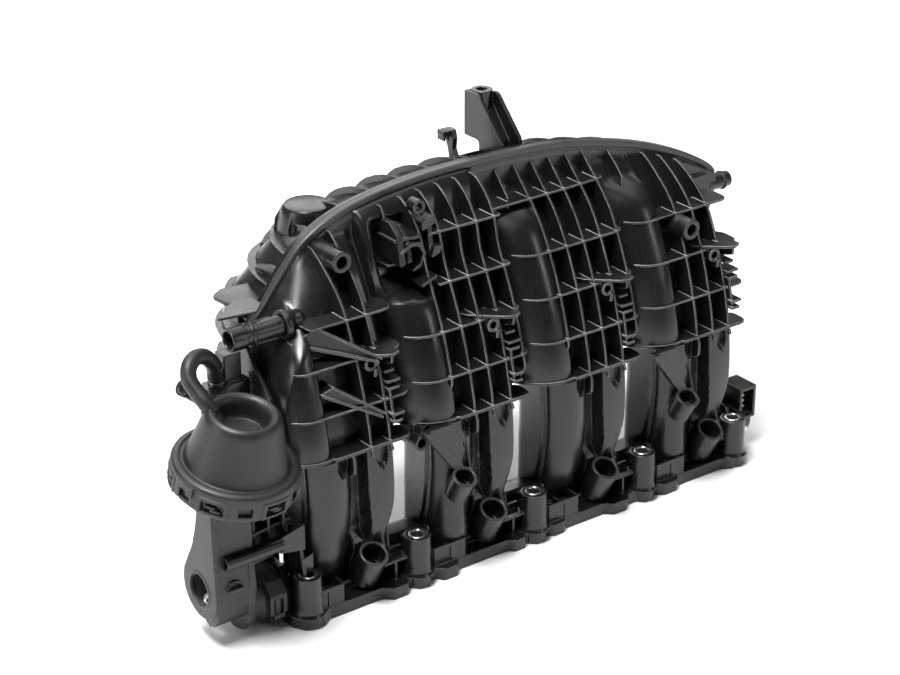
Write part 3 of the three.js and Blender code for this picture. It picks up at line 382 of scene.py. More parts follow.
# ------------------------------------------------------------- front shell
def front_shell():
    A = Acc()
    # smooth skin: lobes and rib floors, closed at the back on the weld plane
    xs, x = [], -168.0
    while x < 163.01:
        xs.append(x); x += 1.5
    NZ = 64
    front, back = [], []
    for x in xs:
        top = min(ztop(x) - 4.0, 226)
        top = max(top, 112)
        for j in range(NZ + 1):
            z = 98.5 + (top - 98.5) * j / NZ
            front.append((x, S(x, z), z))
            back.append((x, 43.9, z))
    n = len(xs); m = NZ + 1
    f = []
    N0 = len(front)
    for i in range(n - 1):
        for j in range(NZ):
            a, b, c, d = i * m + j, (i + 1) * m + j, (i + 1) * m + j + 1, i * m + j + 1
            f.append((a, b, c, d)); f.append((N0 + a, N0 + d, N0 + c, N0 + b))
    for i in range(n - 1):
        a, b = i * m, (i + 1) * m
        f.append((a, N0 + a, N0 + b, b))
        a, b = i * m + NZ, (i + 1) * m + NZ
        f.append((a, b, N0 + b, N0 + a))
    for j in range(NZ):
        a, b = j, j + 1
        f.append((a, b, N0 + b, N0 + a))
        a, b = (n - 1) * m + j, (n - 1) * m + j + 1
        f.append((a, N0 + a, N0 + b, b))
    A.add(front + back, f)
    skin = finish_piece("shell_skin", A, "shell", nodes=("front_shell",), angle=50)

    # rib lattice
    A = Acc()
    for k, px in enumerate(PX):
        rels = list(REL) if k in (1, 2) else ([13.35, 26.7] if k == 0 else [0, 13.35, 26.7])
        if k: rels = ([-41.6, -27.6] if k < 3 else [-27.6]) + rels
        for rel in rels:
            i = REL.index(rel) if rel in REL else -1
            lo = [110, 99, 99, 99, 107, {1: 212, 2: 199, 3: 193}.get(k, 190)][i]
            x = px + rel
            if x > 168: continue
            top = min(ztop(x) - 6.0, 226)
            hi = top
            if hi < lo + 6: continue
            pts = []
            z = lo
            while z < hi:
                y = to_rim(x, E(k, z), z)
                if i == -1: y += 7.5 * (1 - sm(lo, lo + 9, z))
                if i == 0: y += 6.5 * (1 - sm(lo, lo + 12, z))      # tongue ends run out into the surface
                if i == 4: y += 7.5 * (1 - sm(lo, lo + 9, z))
                pts.append((y, z)); z += 3.5 if z > top - 32 else 5
            ye = min(to_rim(x, E(k, hi), hi), 41.5)
            pts.append((ye, hi))
            # back line inside the skin
            bk = []
            z = hi
            while z > lo:
                bk.append((min(43, to_rim(x, E(k, z) + 17 + (8 if i == 4 else 0), z) + 1.5), z)); z -= 9
            bk.append((min(43, E(k, lo) + 17 + (8 if i == 4 else 0)), lo))
            if ye > 41: bk = bk[1:]
            t = 0.72
            prism(A, [p for p in pts if p[0] < 41.6] + bk, 'x', x - t, x + t, e=0.3)
        # horizontal ribs: a thin fin over the lobe, a full rib through the lattice, a round tab at its right end
        rows = [124, 150, 175, 203]
        if k == 0: rows = [124, 150, 171]
        for z in rows:
            e = E(k, z)
            if z > min(ztop(px - 14), ztop(px + 30)) - 9: continue
            if z > DOME_Z[k] + 12 or (k == 1 and z > 168):
                # above the domes the rib runs straight across
                a0 = -44 if (k > 1 and z > 190) else (-8 if k == 1 else -30)
                def yy(r): return to_rim(px + r, e, z)
                st = [a0 + (45.5 - a0) * j / 10 for j in range(11)]
                pts = [(px + r, min(yy(r), 41)) for r in st] + [(px + r, min(42.5, yy(r) + 17)) for r in reversed(st)]
                prism(A, pts, 'z', z - 0.72, z + 0.72, e=0.3, r=[1] + [0] * 9 + [3] + [0] * 11)
                continue
            pts = []
            l0 = -36 if k else {124: -33, 150: -27, 171: -17}[z]
            for j in range(13):
                rel = l0 + (-12.5 - l0) * j / 12
                pr = 1.5 * sm(l0, l0 + 6, rel)
                pts.append((px + rel, S(px + rel, z) - pr - (skin_depth(-12.6) + 0 - 1.5) * sm(-18, -12.5, rel)))
            right = 45.5 if k < 3 else 44.5
            pts += [(px - 11.5, e), (px + right, e), (px + right, e + 15), (px + 40, e + 22), (px - 30, e + 22)]
            pts = [(a, min(b, 42.5)) for a, b in pts]
            rr = [0] * 13 + [1, 6.5, 5, 0, 0]
            prism(A, pts, 'z', z - 0.72, z + 0.72, e=0.3, r=rr)
        # lip at the foot of the lattice
        pts = []
        for j in range(13):
            rel = -39 + (39 - 12.5) * j / 12
            pts.append((px + rel, S(px + rel, 99.5) - 1.2 - 1.1 * sm(-20, -12.5, rel)))
        right = 42.5
        pts += [(px - 11.5, -21.6), (px + right, -21.6), (px + right, -6), (px - 36, -2)]
        rr = [0] * 13 + [1, 6, 4, 0]
        prism(A, pts, 'z', 98.3, 100.4, e=0.5, r=rr)
        # lattice continues below the lip on the runner: two tongues round a dark pocket
        for rel, zl in ((0, 85), (13.35, 92), (26.7, 92)):
            prism(A, [(-21.4, 99), (-23.2, 96), (-23.2, zl + 3), (-20, zl), (-14, zl), (-14, 99)], 'x', px + rel - .8, px + rel + .8, e=0.3)
        # small accessory post with its shelf and tabs
        if True:
            tube(A, (px + 21.4, -10.2, 146.4), (px + 21.4, -1, 146.4), 4.5, 2.5, 30)
            rod(A, (px + 21.4, -2.2, 146.4), (px + 21.4, 8, 146.4), 4.5, seg=30)
            shelf = [(px + 6, 6), (px + 9, -1), (px + 26, -16), (px + 31, -18.4), (px + 37, -16), (px + 37, -11), (px + 20, 2), (px + 16, 8)]
            prism(A, shelf, 'z', 151.4, 153.2, e=.45, r=1.2)
            prism(A, [(-16.5, 146.5), (-16.5, 152), (2, 152), (2, 140)], 'x', px + 30.6, px + 32.2, e=.35, r=.8)
            prism(A, [(px + 22, -12), (px + 24, -12), (px + 24, 4), (px + 22, 4)], 'z', 138.5, 143.5, e=.35)
            for zz, a in ((140.5, 35), (134.5, 38), (130.5, 36.5), (115.5, 37), (111.5, 35)):
                prism(A, [(px + 28, EDGE(zz) - 3), (px + a, EDGE(zz) - 3), (px + a, EDGE(zz) + 9), (px + 28, EDGE(zz) + 9)], 'z', zz - .8, zz + .8, e=.3, r=1)
            prism(A, [(EDGE(130) - 2, 131), (EDGE(112) - 2, 111), (EDGE(112) + 8, 111), (EDGE(130) + 8, 131)], 'x', px + 29, px + 30.6, e=.35)
    finish_piece("shell_ribs", A, "rib")

    # gussets that tie the posts of the first runner back to its lobe: two bars and a web each
    A = Acc()
    px = PX[0]
    HEX = [(0, 3, 2, 1), (4, 5, 6, 7), (0, 1, 5, 4), (1, 2, 6, 5), (2, 3, 7, 6), (3, 0, 4, 7)]
    def bar(L, R, t, d):
        A.add([(L[0], L[1], L[2] - t), (R[0], R[1], R[2] - t), (R[0], R[1] + d, R[2] - t), (L[0], L[1] + d, L[2] - t),
               (L[0], L[1], L[2] + t), (R[0], R[1], R[2] + t), (R[0], R[1] + d, R[2] + t), (L[0], L[1] + d, L[2] + t)], HEX)
    for la, za, lb, zb, zr, yr in ((-21, 163, -6, 171, 150, -15.5), (-13, 136, -5, 139, 116.5, -19)):
        L1, R1 = (px + la, S(px + la, za) - 1.5, za), (px + 23, yr, zr - .8)
        L2, R2 = (px + lb, E(0, zb) - 1.5, zb), (px + 25, yr, zr + .8)
        bar(L1, R1, .75, 12)
        bar(L2, R2, .75, 14)
        A.add([(L1[0], L1[1] + 2.5, L1[2]), (R1[0], R1[1] + 2.5, R1[2]), (R1[0], R1[1] + 9, R1[2]), (L1[0], L1[1] + 9, L1[2]),
               (L2[0], L2[1] + 2.5, L2[2]), (R2[0], R2[1] + 2.5, R2[2]), (R2[0], R2[1] + 9, R2[2]), (L2[0], L2[1] + 9, L2[2])], HEX)
    finish_piece("shell_gussets", A, "rib")

    # welded rim: front half, a groove, and the plain wall at the right end
    A = Acc()
    prof = [(0.0, 44.0), (0.0, 40.9), (0.5, 40.2), (1.2, 40.0), (3.4, 40.0), (3.9, 40.3), (4.2, 41.4), (5.2, 41.4), (5.5, 40.3), (6.0, 40.0), (8.8, 40.0), (9.3, 40.3), (9.5, 41), (9.5, 44.0)]
    base = RIMS
    rings = []
    for d, y in prof:
        q = offset(base, d)
        rings.append([(p[0], y, p[1]) for p in q])
    loft(A, [list(s) for s in zip(*rings)], closed=True)
    # the rim's lighter material is a painted highlight
    finish_piece("weld_rim", A, "rim", angle=32)
    A = Acc()
    prism(A, [(160, 103), (166, 112), (178, 132), (190, 158), (194, 174), (192, 180), (160, 196)], 'y', 33.8, 43.6, e=1.2, r=4)
    tube(A, (188, 38.4, 171), (207, 38.4, 171), 5.2, 3.3, 32)
    turned(A, [(5.0, 0), (6.1, .4), (6.3, 1.2), (6.1, 2), (5.0, 2.4)], (200.5, 38.4, 171), (1, 0, 0), 32)
    for zz in (132, 146, 158, 181):
        prism(A, [(160, 24), (171, 24), (176, 30), (178, 36), (160, 36)] if zz < 170 else [(160, 30), (182, 31), (186, 36), (160, 36)], 'z', zz - .9, zz + .9, e=.35, r=1)
    finish_piece("right_end", A, "shell")

    # wide posts, nozzle boss, left blade, web tube
    A = Acc()
    tube(A, (-112, 15.2, 200.5), (-112, 27, 200.5), 6.6, 3.5, 40, .6)
    rod(A, (-112, 26, 200.5), (-112, 41, 199.5), 6.6, 8.2, 40)
    tube(A, (134, -9.2, 168), (134, 2, 168), 6.6, 3.6, 40, .6)
    rod(A, (134, 1, 168), (134, 20, 168), 6.6, 8.5, 40)
    tube(A, (-57, 16.5, 221), (-57, 24, 221), 4.4, 2.2, 30)
    tube(A, (-80, -17, 88.5), (-80, -8, 88.5), 5, 3, 32)
    rod(A, (-80, -9, 88.5), (-80, 4, 88.5), 5, seg=32)
    prism(A, [(-97, 99.5), (-78, 99.5), (-75.2, 90), (-76, 86), (-83, 84.5), (-86, 90)], 'y', -9.5, -7.5, e=.5, r=1)
    prism(A, [(-16.5, 93), (-19, 100), (2, 100), (2, 88), (-8, 88)], 'x', -81, -79, e=.4)
    rod(A, (-81, -6, 103), (-81, 12, 104), 5, 6.2, 32)
    rod(A, (-153, 18, 172), (-138, 22.5, 171), 7.8, 5.6, 40)
    turned(A, [(7.4, 0), (8.6, .5), (8.9, 1.6), (8.9, 3.4), (8.4, 4.4), (7.4, 4.8)], (-153.4, 18, 172), (1, 0, 0), 40)
    prism(A, [(-6, 98.3), (20, 98.3), (38, 130), (42, 160), (30, 162), (20, 150), (4, 135), (-4, 118)], 'x', -170.4, -168.2, e=.5, r=2)
    for zz in (106, 116, 126, 136):
        prism(A, [(-170, 16), (-162, 10), (-162, 40), (-170, 40)], 'z', zz - .9, zz + .9, e=.3, r=.6)
    for xx in (-167.6, -163.5, -159.6):
        prism(A, [(10, 100), (40, 100), (42, 150), (34, 150), (22, 128)], 'x', xx - .8, xx + .8, e=.3, r=.6)
    finish_piece("shell_posts", A, "shell")

    # moulded clip recess on the shoulder of the second runner
    A = Acc()
    px = PX[1]
    prism(A, [(px - 32, 15), (px - 14, 13.5), (px - 14, 33), (px - 32, 33)], 'z', 203, 205, e=.4, r=2)
    prism(A, [(px - 33, 22), (px - 8, 20), (px - 8, 32), (px - 33, 34)], 'z', 186, 187.8, e=.4, r=2)
    for i, (a, b, zz) in enumerate(((-31, -27, 208), (-24.5, -21.5, 205), (-8, -5, 209))):
        prism(A, [(10.5 + i, 190), (14 + i, zz), (22, zz + 6), (30, zz + 6), (30, 190)], 'x', px + a, px + b, e=.5, r=1.2)
    c = [(-29, 196), (-22, 200), (-17, 199), (-14, 194), (-16, 188), (-21, 185.5), (-21, 183.8), (-14.5, 186), (-11.8, 194), (-15, 201.4), (-22, 202.4), (-30, 198)]
    prism(A, [(px + a, b) for a, b in c], 'y', 11.5, 34, e=.5, r=.8)
    prism(A, [(px - 20, 176), (px - 9, 180), (px - 9, 182), (px - 20, 178.2)], 'y', 4.5, 28, e=.4, r=.8)
    prism(A, [(px - 12, 206), (px - 3, 209), (px - 3, 214), (px - 6, 214), (px - 12, 211)], 'y', 15, 34, e=.5, r=.8)
    prism(A, [(px - 9, 190), (px - 3, 192), (px - 1, 197), (px - 7, 197)], 'y', 10, 30, e=.5, r=.8)
    finish_piece("clip_recess", A, "shell")

front_shell()

# ------------------------------------------------------------------ runners
RF = tabf([(8, -12), (20, -13), (30, -17), (38, -19.6), (53, -22), (67, -23.2), (81, -23), (98, -21.6)])
RD = tabf([(8, 31), (20, 33), (30, 37), (38, 39.5), (53, 42), (98, 44)])
INJ = Vector((0, 0.49, -0.872)).normalized()
def runner_front(rel, z):
    """Depth of the runner's front face behind its front line."""
    g0 = 3.0 - 1.6 * sm(60, 98, z)                        # groove, left and right edge
    g1 = 9.8 + 2.4 * (1 - sm(44, 70, z))
    band = 27.5 - 5.5 * (1 - sm(34, 62, z))
    fade = sm(33, 46, z)
    d = 0.0
    # round tube on the left, flat blade on the right, dark groove between
    u = min(1.0, abs(rel + 13.0) / 16.4)
    tubed = 15.0 * (1 - math.sqrt(max(0.0, 1 - u * u * 0.92)))
    d += tubed * (1 - sm(g0 - 1.0, g0, rel))
    d += (2.0 + 8.5 * fade) * sm(g0 - 1.2, g0 + .4, rel) * (1 - sm(g1 - 1.0, g1 + .4, rel))
    d += 0.016 * (rel - 18) ** 2 * sm(g1 - 1, g1, rel) * 0.5
    d += 4.5 * sm(band, band + 1.6, rel) * sm(24, 34, z)
    # pockets below the shell's lip
    for c, w, zb in ((20, 4.6, 86.5), (-6.7, 4.6, 87.5)):
        q = abs(rel - c) / w
        if q < 1.25:
            hh = zb + 7 * q * q
            d += 3.4 * (1 - sm(.78, 1.05, q)) * sm(hh - 1.2, hh + .6, z)
    return d

def runner(k):
    A = Acc()
    px = PX[k]
    zs = [8.3, 9.2, 14, 19] + [22 + 2.0 * i for i in range(38)] + [98.0]
    rels = [-27.6 + 0.8 * i for i in range(70)]
    secs = []
    for z in zs:
        f, D = RF(z), RD(z)
        hw = 28 - (0.8 if z < 9 else 0)
        s = []
        for r in rels:
            q = max(-hw, min(hw, r))
            s.append((px + q, f + runner_front(r, z), z))
        # right side, back, left side, rounded
        s += [(px + hw, f + 9, z), (px + hw, f + D * .5, z), (px + hw, f + D - 11, z)]
        for j in range(7):
            t = math.radians(90 * j / 6)
            s.append((px + hw - 10 + 10 * math.cos(t), f + D - 10 + 10 * math.sin(t), z))
        s += [(px + 8, f + D, z), (px - 8, f + D, z)]
        for j in range(7):
            t = math.radians(90 + 90 * j / 6)
            s.append((px - hw + 10 + 10 * math.cos(t), f + D - 10 + 10 * math.sin(t), z))
        s += [(px - hw, f + D * .5, z), (px - hw, f + 15, z), (px - hw + 1.6, f + 13.4, z), (px - hw + 1.6, f + 10.6, z), (px - hw, f + 9, z)]
        secs.append(s)
    loft(A, secs)
    # injector socket
    o = Vector((px + 9.6, -27, 34.3))
    tube(A, o, o + INJ * 24, 9.0, 6.9, 44, .5)
    turned(A, [(0.01, 0), (6.95, 0), (6.95, 1), (0.01, 1)], o + INJ * 14, INJ, 36)
    # notch lips where the groove runs down into the socket
    prism(A, [(-26.5, 33), (-20.5, 44), (-15, 46), (-12, 28), (-18, 22)], 'x', px + 17.4, px + 19.2, e=.5, r=1)
    # collar at the foot
    prism(A, rounded([(px - 25, -14.2), (px + 22, -14.2), (px + 22, 15), (px - 25, 15)], 6, 5), 'z', 8.3, 13.4, e=.8)
    if k % 2 == 1:
        m = Vector((px - 15.6, -31.4, 66.5))
        tube(A, m, m + INJ * 17, 7.9, 5.6, 44, .5)
        turned(A, [(0.01, 0), (5.65, 0), (5.65, 1), (0.01, 1)], m + INJ * 10, INJ, 32)
        rod(A, (px - 13.5, -12.5, 60), (px - 13.5, -10.5, 10), 12.4, 12.4, 56, 3.5)
        # diagonal web from the lip and thin fins to the surface
        prism(A, rounded([(px - 41, 99), (px - 36, 99), (px - 13.5, 73), (px - 12, 66), (px - 19, 69)], 1, 2), 'y', -26.5, -23.5, e=.5)
        prism(A, [(px - 40, 99), (px - 20, 99), (px - 10, 80), (px - 12, 66), (px - 19, 69)], 'y', -24, -20, e=.5)
        prism(A, [(-29, 66), (-21.5, 90), (-14, 90), (-14, 52), (-22, 52)], 'x', px - 9.4, px - 8.0, e=.4)
    if k == 3:
        for t in range(2):
            pass
    finish_piece(f"runner_body_{k + 1}", A, "shell", nodes=(f"runner_{k + 1}",), angle=34)
for k in range(4):
    runner(k)

# -------------------------------------------------------------- head flange
def flange():
    A = Acc()
    T, F, B = 8, -26, 25
    out = [(-176, -20), (-171, -28), (-160, -30), (-153, F)]
    def bump(c, w, h):
        return [(c - w, F), (c - w * .5, F - h), (c + w * .5, F - h), (c + w, F)]
    for c, w, h in ((-106, 10, 5), (-88, 6.6, 4.4), (-69, 9, 5), (-15.5, 7.5, 3.5), (0, 6.6, 4.4), (15.5, 7.5, 3), (64, 10, 4.5), (88, 6.6, 4.4), (106, 10, 4.5)):
        out += bump(c, w, h)
    out += [(153, F), (160, -30), (171, -28), (176, -20), (176, 10), (166, B), (-166, B), (-176, 10)]
    out = rounded(out, 2.2, 3)
    # plate as frames and bars round the four ports
    import bmesh
    def holed(outer, holes, z0, z1, e):
        bm = bmesh.new()
        loops = [outer] + holes
        edges = []
        for lp in loops:
            vs = [bm.verts.new((p[0], p[1], z0)) for p in lp]
            edges += [bm.edges.new((vs[i], vs[(i + 1) % len(vs)])) for i in range(len(vs))]
        bmesh.ops.triangle_fill(bm, use_beauty=True, use_dissolve=False, edges=edges)
        bottom = list(bm.faces)
        bmesh.ops.recalc_face_normals(bm, faces=bottom)
        if bottom[0].normal.z > 0:
            bmesh.ops.reverse_faces(bm, faces=bottom)
        r = bmesh.ops.extrude_face_region(bm, geom=bottom, use_keep_orig=True)
        top = [g for g in r["geom"] if isinstance(g, bmesh.types.BMVert)]
        for v in top: v.co.z = z1
        bmesh.ops.recalc_face_normals(bm, faces=list(bm.faces))
        rim = [ed for ed in bm.edges if len(ed.link_faces) == 2 and ed.calc_face_angle(0) > 0.9 and abs(ed.verts[0].co.z - ed.verts[1].co.z) < 1e-6]
        bmesh.ops.bevel(bm, geom=rim, offset=e, segments=2, profile=0.5, affect='EDGES', clamp_overlap=False)
        bm.verts.ensure_lookup_table(); bm.verts.index_update()
        vs = [tuple(v.co) for v in bm.verts]; fs = [tuple(v.index for v in fc.verts) for fc in bm.faces]
        bm.free()
        return vs, fs
    def rr(cx, cy, w, h, r, n=6):
        return rounded([(cx - w / 2, cy - h / 2), (cx + w / 2, cy - h / 2), (cx + w / 2, cy + h / 2), (cx - w / 2, cy + h / 2)], r, n)
    grooves = [rr(x, 0, 55, 39, 12) for x in PX]
    ports = [rr(x, 0, 46, 30, 8) for x in PX]
    sleeves = [[(x + 5.7 * math.cos(2 * math.pi * i / 32), BY + 5.7 * math.sin(2 * math.pi * i / 32)) for i in range(32)] for x in BX]
    v, f = holed(out, grooves + sleeves, 0, 2.7, .25)
    A.add(v, f)
    for i, x in enumerate(PX):
        v, f = holed(rr(x, 0, 49.4, 33.4, 9.5), [ports[i]], 0, 2.7, .25); A.add(v, f)
    v, f = holed(out, ports + sleeves, 2.6, T, .6)
    A.add(v, f)
    # bosses
    for x in BX:
        turned(A, [(5.72, 1), (8.6, 1), (8.45, 20), (8.3, 32.2), (8.1, 32.8), (7.6, 33.0), (6.2, 33.0), (5.72, 32.6)], (x, BY, 0), (0, 0, 1), 56)
        prism(A, [(BY + 6, 4), (14, 4), (14, 14), (-4, 24), (BY + 6, 28.5)], 'x', x - 1.3, x + 1.3, e=.4)
        turned(A, [(8.2, 0), (10.5, 0), (9.6, .8), (8.9, 2.2), (8.4, 4.5), (8.2, 5)], (x, BY, 7.9), (0, 0, 1), 48)
    # box ribs left of each socket and the shelf right of it
    for k, x in enumerate(PX):
        for a, b, c, d in ((-35, -33.2, -25, -13), (-10.8, -9, -25, -14), (-22.5, -21, -25, -14)):
            prism(A, [(x + a, c), (x + b, c), (x + b, d), (x + a, d)], 'z', 6, 20 if a != -22.5 else 18.5, e=.35, r=.3)
        prism(A, [(x - 35, -25), (x - 9, -25), (x - 9, -23.3), (x - 35, -23.3)], 'z', 6, 20, e=.4, r=.3)
        prism(A, [(x - 35, -14.8), (x - 28.5, -14.8), (x - 28.5, -13.2), (x - 35, -13.2)], 'z', 6, 23.5, e=.35, r=.3)
        x1 = x + 37.6
        prism(A, [(x + 19.4, -23), (x1, -23), (x1, -13.4), (x + 19.4, -13.4)], 'z', 19.2, 21.0, e=.35, r=.8)
        prism(A, [(x + 28.4, -15.2), (x1, -15.2), (x1, -13.4), (x + 28.4, -13.4)], 'z', 6, 25, e=.35, r=.3)
        prism(A, [(-23, 7), (-13.5, 7), (-13.5, 20), (-23, 20)], 'x', x + 27.4, x + 29, e=.3)
        # foot flare round the runner, switched off: the line below builds nothing
        prism(A, rr(x, 1.6, 57, 34, 6), 'z', 7.6, 9.8, e=.9) if False else None
    for x in (-88, 0, 88):
        prism(A, [(-11, 4), (11, 4), (11, 19), (6, 27), (-6, 27), (-11, 19)], 'x', x - 14, x + 14, e=.8, r=3)
        prism(A, [(-15.5, 7), (-10, 7), (-10, 33), (-13, 33)], 'x', x - 15.4, x - 13.6, e=.35)
        prism(A, [(-15.5, 7), (-10, 7), (-10, 29), (-13, 29)], 'x', x + 13.6, x + 15.4, e=.35)
    prism(A, [(-166, 21.6), (166, 21.6), (166, 24.4), (-166, 24.4)], 'z', 4, 15, e=.6, r=.5)
    for i in range(15):
        xx = -154 + 22 * i
        prism(A, [(12, 7), (22.4, 7), (22.4, 14.4), (18, 14.4)], 'x', xx - .8, xx + .8, e=.3)
    for a, b in ((-175.6, -171), (171, 175.6)):
        prism(A, [(-14, 2), (14, 2), (14, 22), (8, 34), (-8, 34), (-14, 22)], 'x', a, b, e=.8, r=3)
    prism(A, [(-24, 4), (-8, 4), (-8, 62), (-15, 62), (-20, 52), (-24, 34)], 'x', -169.4, -167.2, e=.4, r=1.5)
    prism(A, [(-169, -23), (-160, -20), (-160, -18.4), (-169, -21.2)], 'z', 8, 44, e=.3, r=.3)
    tube(A, (-219, -19.8, 57.2), (-204, -19.8, 57.2), 4.3, 2.5, 40, .5)
    rod(A, (-205, -19.8, 57.2), (-181, -19.6, 57.5), 4.3, 4.5, 40)
    prism(A, [(-183, 52), (-166, 49), (-166, 66), (-183, 62)], 'y', -21.5, -19, e=.5, r=1)
    prism(A, [(-183, 20), (-158, 20), (-158, 22), (-183, 22)], 'z', 6, 58, e=.5)
    finish_piece("flange_body", A, "shell", nodes=("head_flange",), angle=34)
    for i, x in enumerate(BX):
        S2 = Acc()
        turned(S2, [(3.6, .8), (4.1, .3), (5.0, .3), (5.4, .7), (5.4, 33.0), (5.15, 33.3), (4.9, 33.4), (4.2, 33.4), (3.85, 33.1), (3.6, 32.7)], (x, BY, 0), (0, 0, 1), 56)
        finish_piece(f"sleeve_{i + 1}", S2, "metal", nodes=(f"bolt_sleeve_{i + 1}",))
flange()

# ------------------------------------------------------------ shared pieces
import bmesh
def holed_plate(acc, outer, holes, axis, z0, z1, e=0.4, xf=None):
    """Plate with holes and rounded edges, outline in the plane across axis."""
    bm = bmesh.new()
    edges = []
    for lp in [outer] + holes:
        vs = [bm.verts.new((p[0], p[1], z0)) for p in lp]
        edges += [bm.edges.new((vs[i], vs[(i + 1) % len(vs)])) for i in range(len(vs))]
    bmesh.ops.triangle_fill(bm, use_beauty=True, use_dissolve=False, edges=edges)
    bottom = list(bm.faces)
    bmesh.ops.recalc_face_normals(bm, faces=bottom)
    if bottom[0].normal.z > 0:
        bmesh.ops.reverse_faces(bm, faces=bottom)
    r = bmesh.ops.extrude_face_region(bm, geom=bottom, use_keep_orig=True)
    for v in [g for g in r["geom"] if isinstance(g, bmesh.types.BMVert)]:
        v.co.z = z1
    bmesh.ops.recalc_face_normals(bm, faces=list(bm.faces))
    rim = [ed for ed in bm.edges if len(ed.link_faces) == 2 and ed.calc_face_angle(0) > 0.9 and abs(ed.verts[0].co.z - ed.verts[1].co.z) < 1e-6]
    bmesh.ops.bevel(bm, geom=rim, offset=e, segments=2, profile=0.5, affect='EDGES', clamp_overlap=False)
    bm.verts.index_update()
    vs = [place((v.co.x, v.co.y), axis, v.co.z) for v in bm.verts]
    fs = [tuple(v.index for v in fc.verts) for fc in bm.faces]
    if axis == 'y':
        fs = [f[::-1] for f in fs]
    if xf is not None:
        vs = [tuple(xf @ Vector(p)) for p in vs]
    bm.free()
    acc.add(vs, fs)

def circle(cx, cy, r, n=40):
    return [(cx + r * math.cos(2 * math.pi * i / n), cy + r * math.sin(2 * math.pi * i / n)) for i in range(n)]

def sector(acc, r0, r1, h0, h1, a0, a1, x, n=6, c=0.35):
    """Curved block round an axis, edges eased."""
    secs = []
    for i in range(n + 1):
        t = a0 + (a1 - a0) * i / n
        k = c if i in (0, n) else 0
        pr = [(r0 + c + k * .3, h0 + k), (r1 - c - k * .3, h0 + k), (r1 - k, h0 + c + k * .3), (r1 - k, h1 - c - k * .3), (r1 - c - k * .3, h1 - k), (r0 + c + k * .3, h1 - k), (r0 + k, h1 - c - k * .3), (r0 + k, h0 + c + k * .3)]
        secs.append([tuple(x @ Vector((r * math.cos(t), r * math.sin(t), h))) for r, h in pr])
    loft(acc, secs)

def sweep(acc, pts, rad, seg=20, m=8, caps=True):
    """Round tube along a smooth line; rad is a number or a function of 0..1."""
    P = [Vector(p) for p in pts]
    n = len(P)
    line = []
    for i in range(n - 1):
        p0, p1, p2, p3 = P[max(0, i - 1)], P[i], P[i + 1], P[min(n - 1, i + 2)]
        for j in range(m):
            t = j / m
            line.append(0.5 * (2 * p1 + (p2 - p0) * t + (2 * p0 - 5 * p1 + 4 * p2 - p3) * t * t + (3 * p1 - p0 - 3 * p2 + p3) * t ** 3))
    line.append(P[-1])
    tan = [(line[min(i + 1, len(line) - 1)] - line[max(i - 1, 0)]).normalized() for i in range(len(line))]
    u = tan[0].orthogonal().normalized()
    secs = []
    for i, (c, d) in enumerate(zip(line, tan)):
        u = (u - d * u.dot(d)).normalized()
        w = d.cross(u)
        r = rad(i / (len(line) - 1)) if callable(rad) else rad
        secs.append([tuple(c + u * r * math.cos(2 * math.pi * j / seg) + w * r * math.sin(2 * math.pi * j / seg)) for j in range(seg)])
    loft(acc, secs)
    return line, tan

# ---------------------------------------------------------- vacuum actuator
AC = Vector((-200, -16.2, 143.8))
AD = Vector((0.075, -0.199, 0.977)).normalized()
def at(h): return AC - AD * h

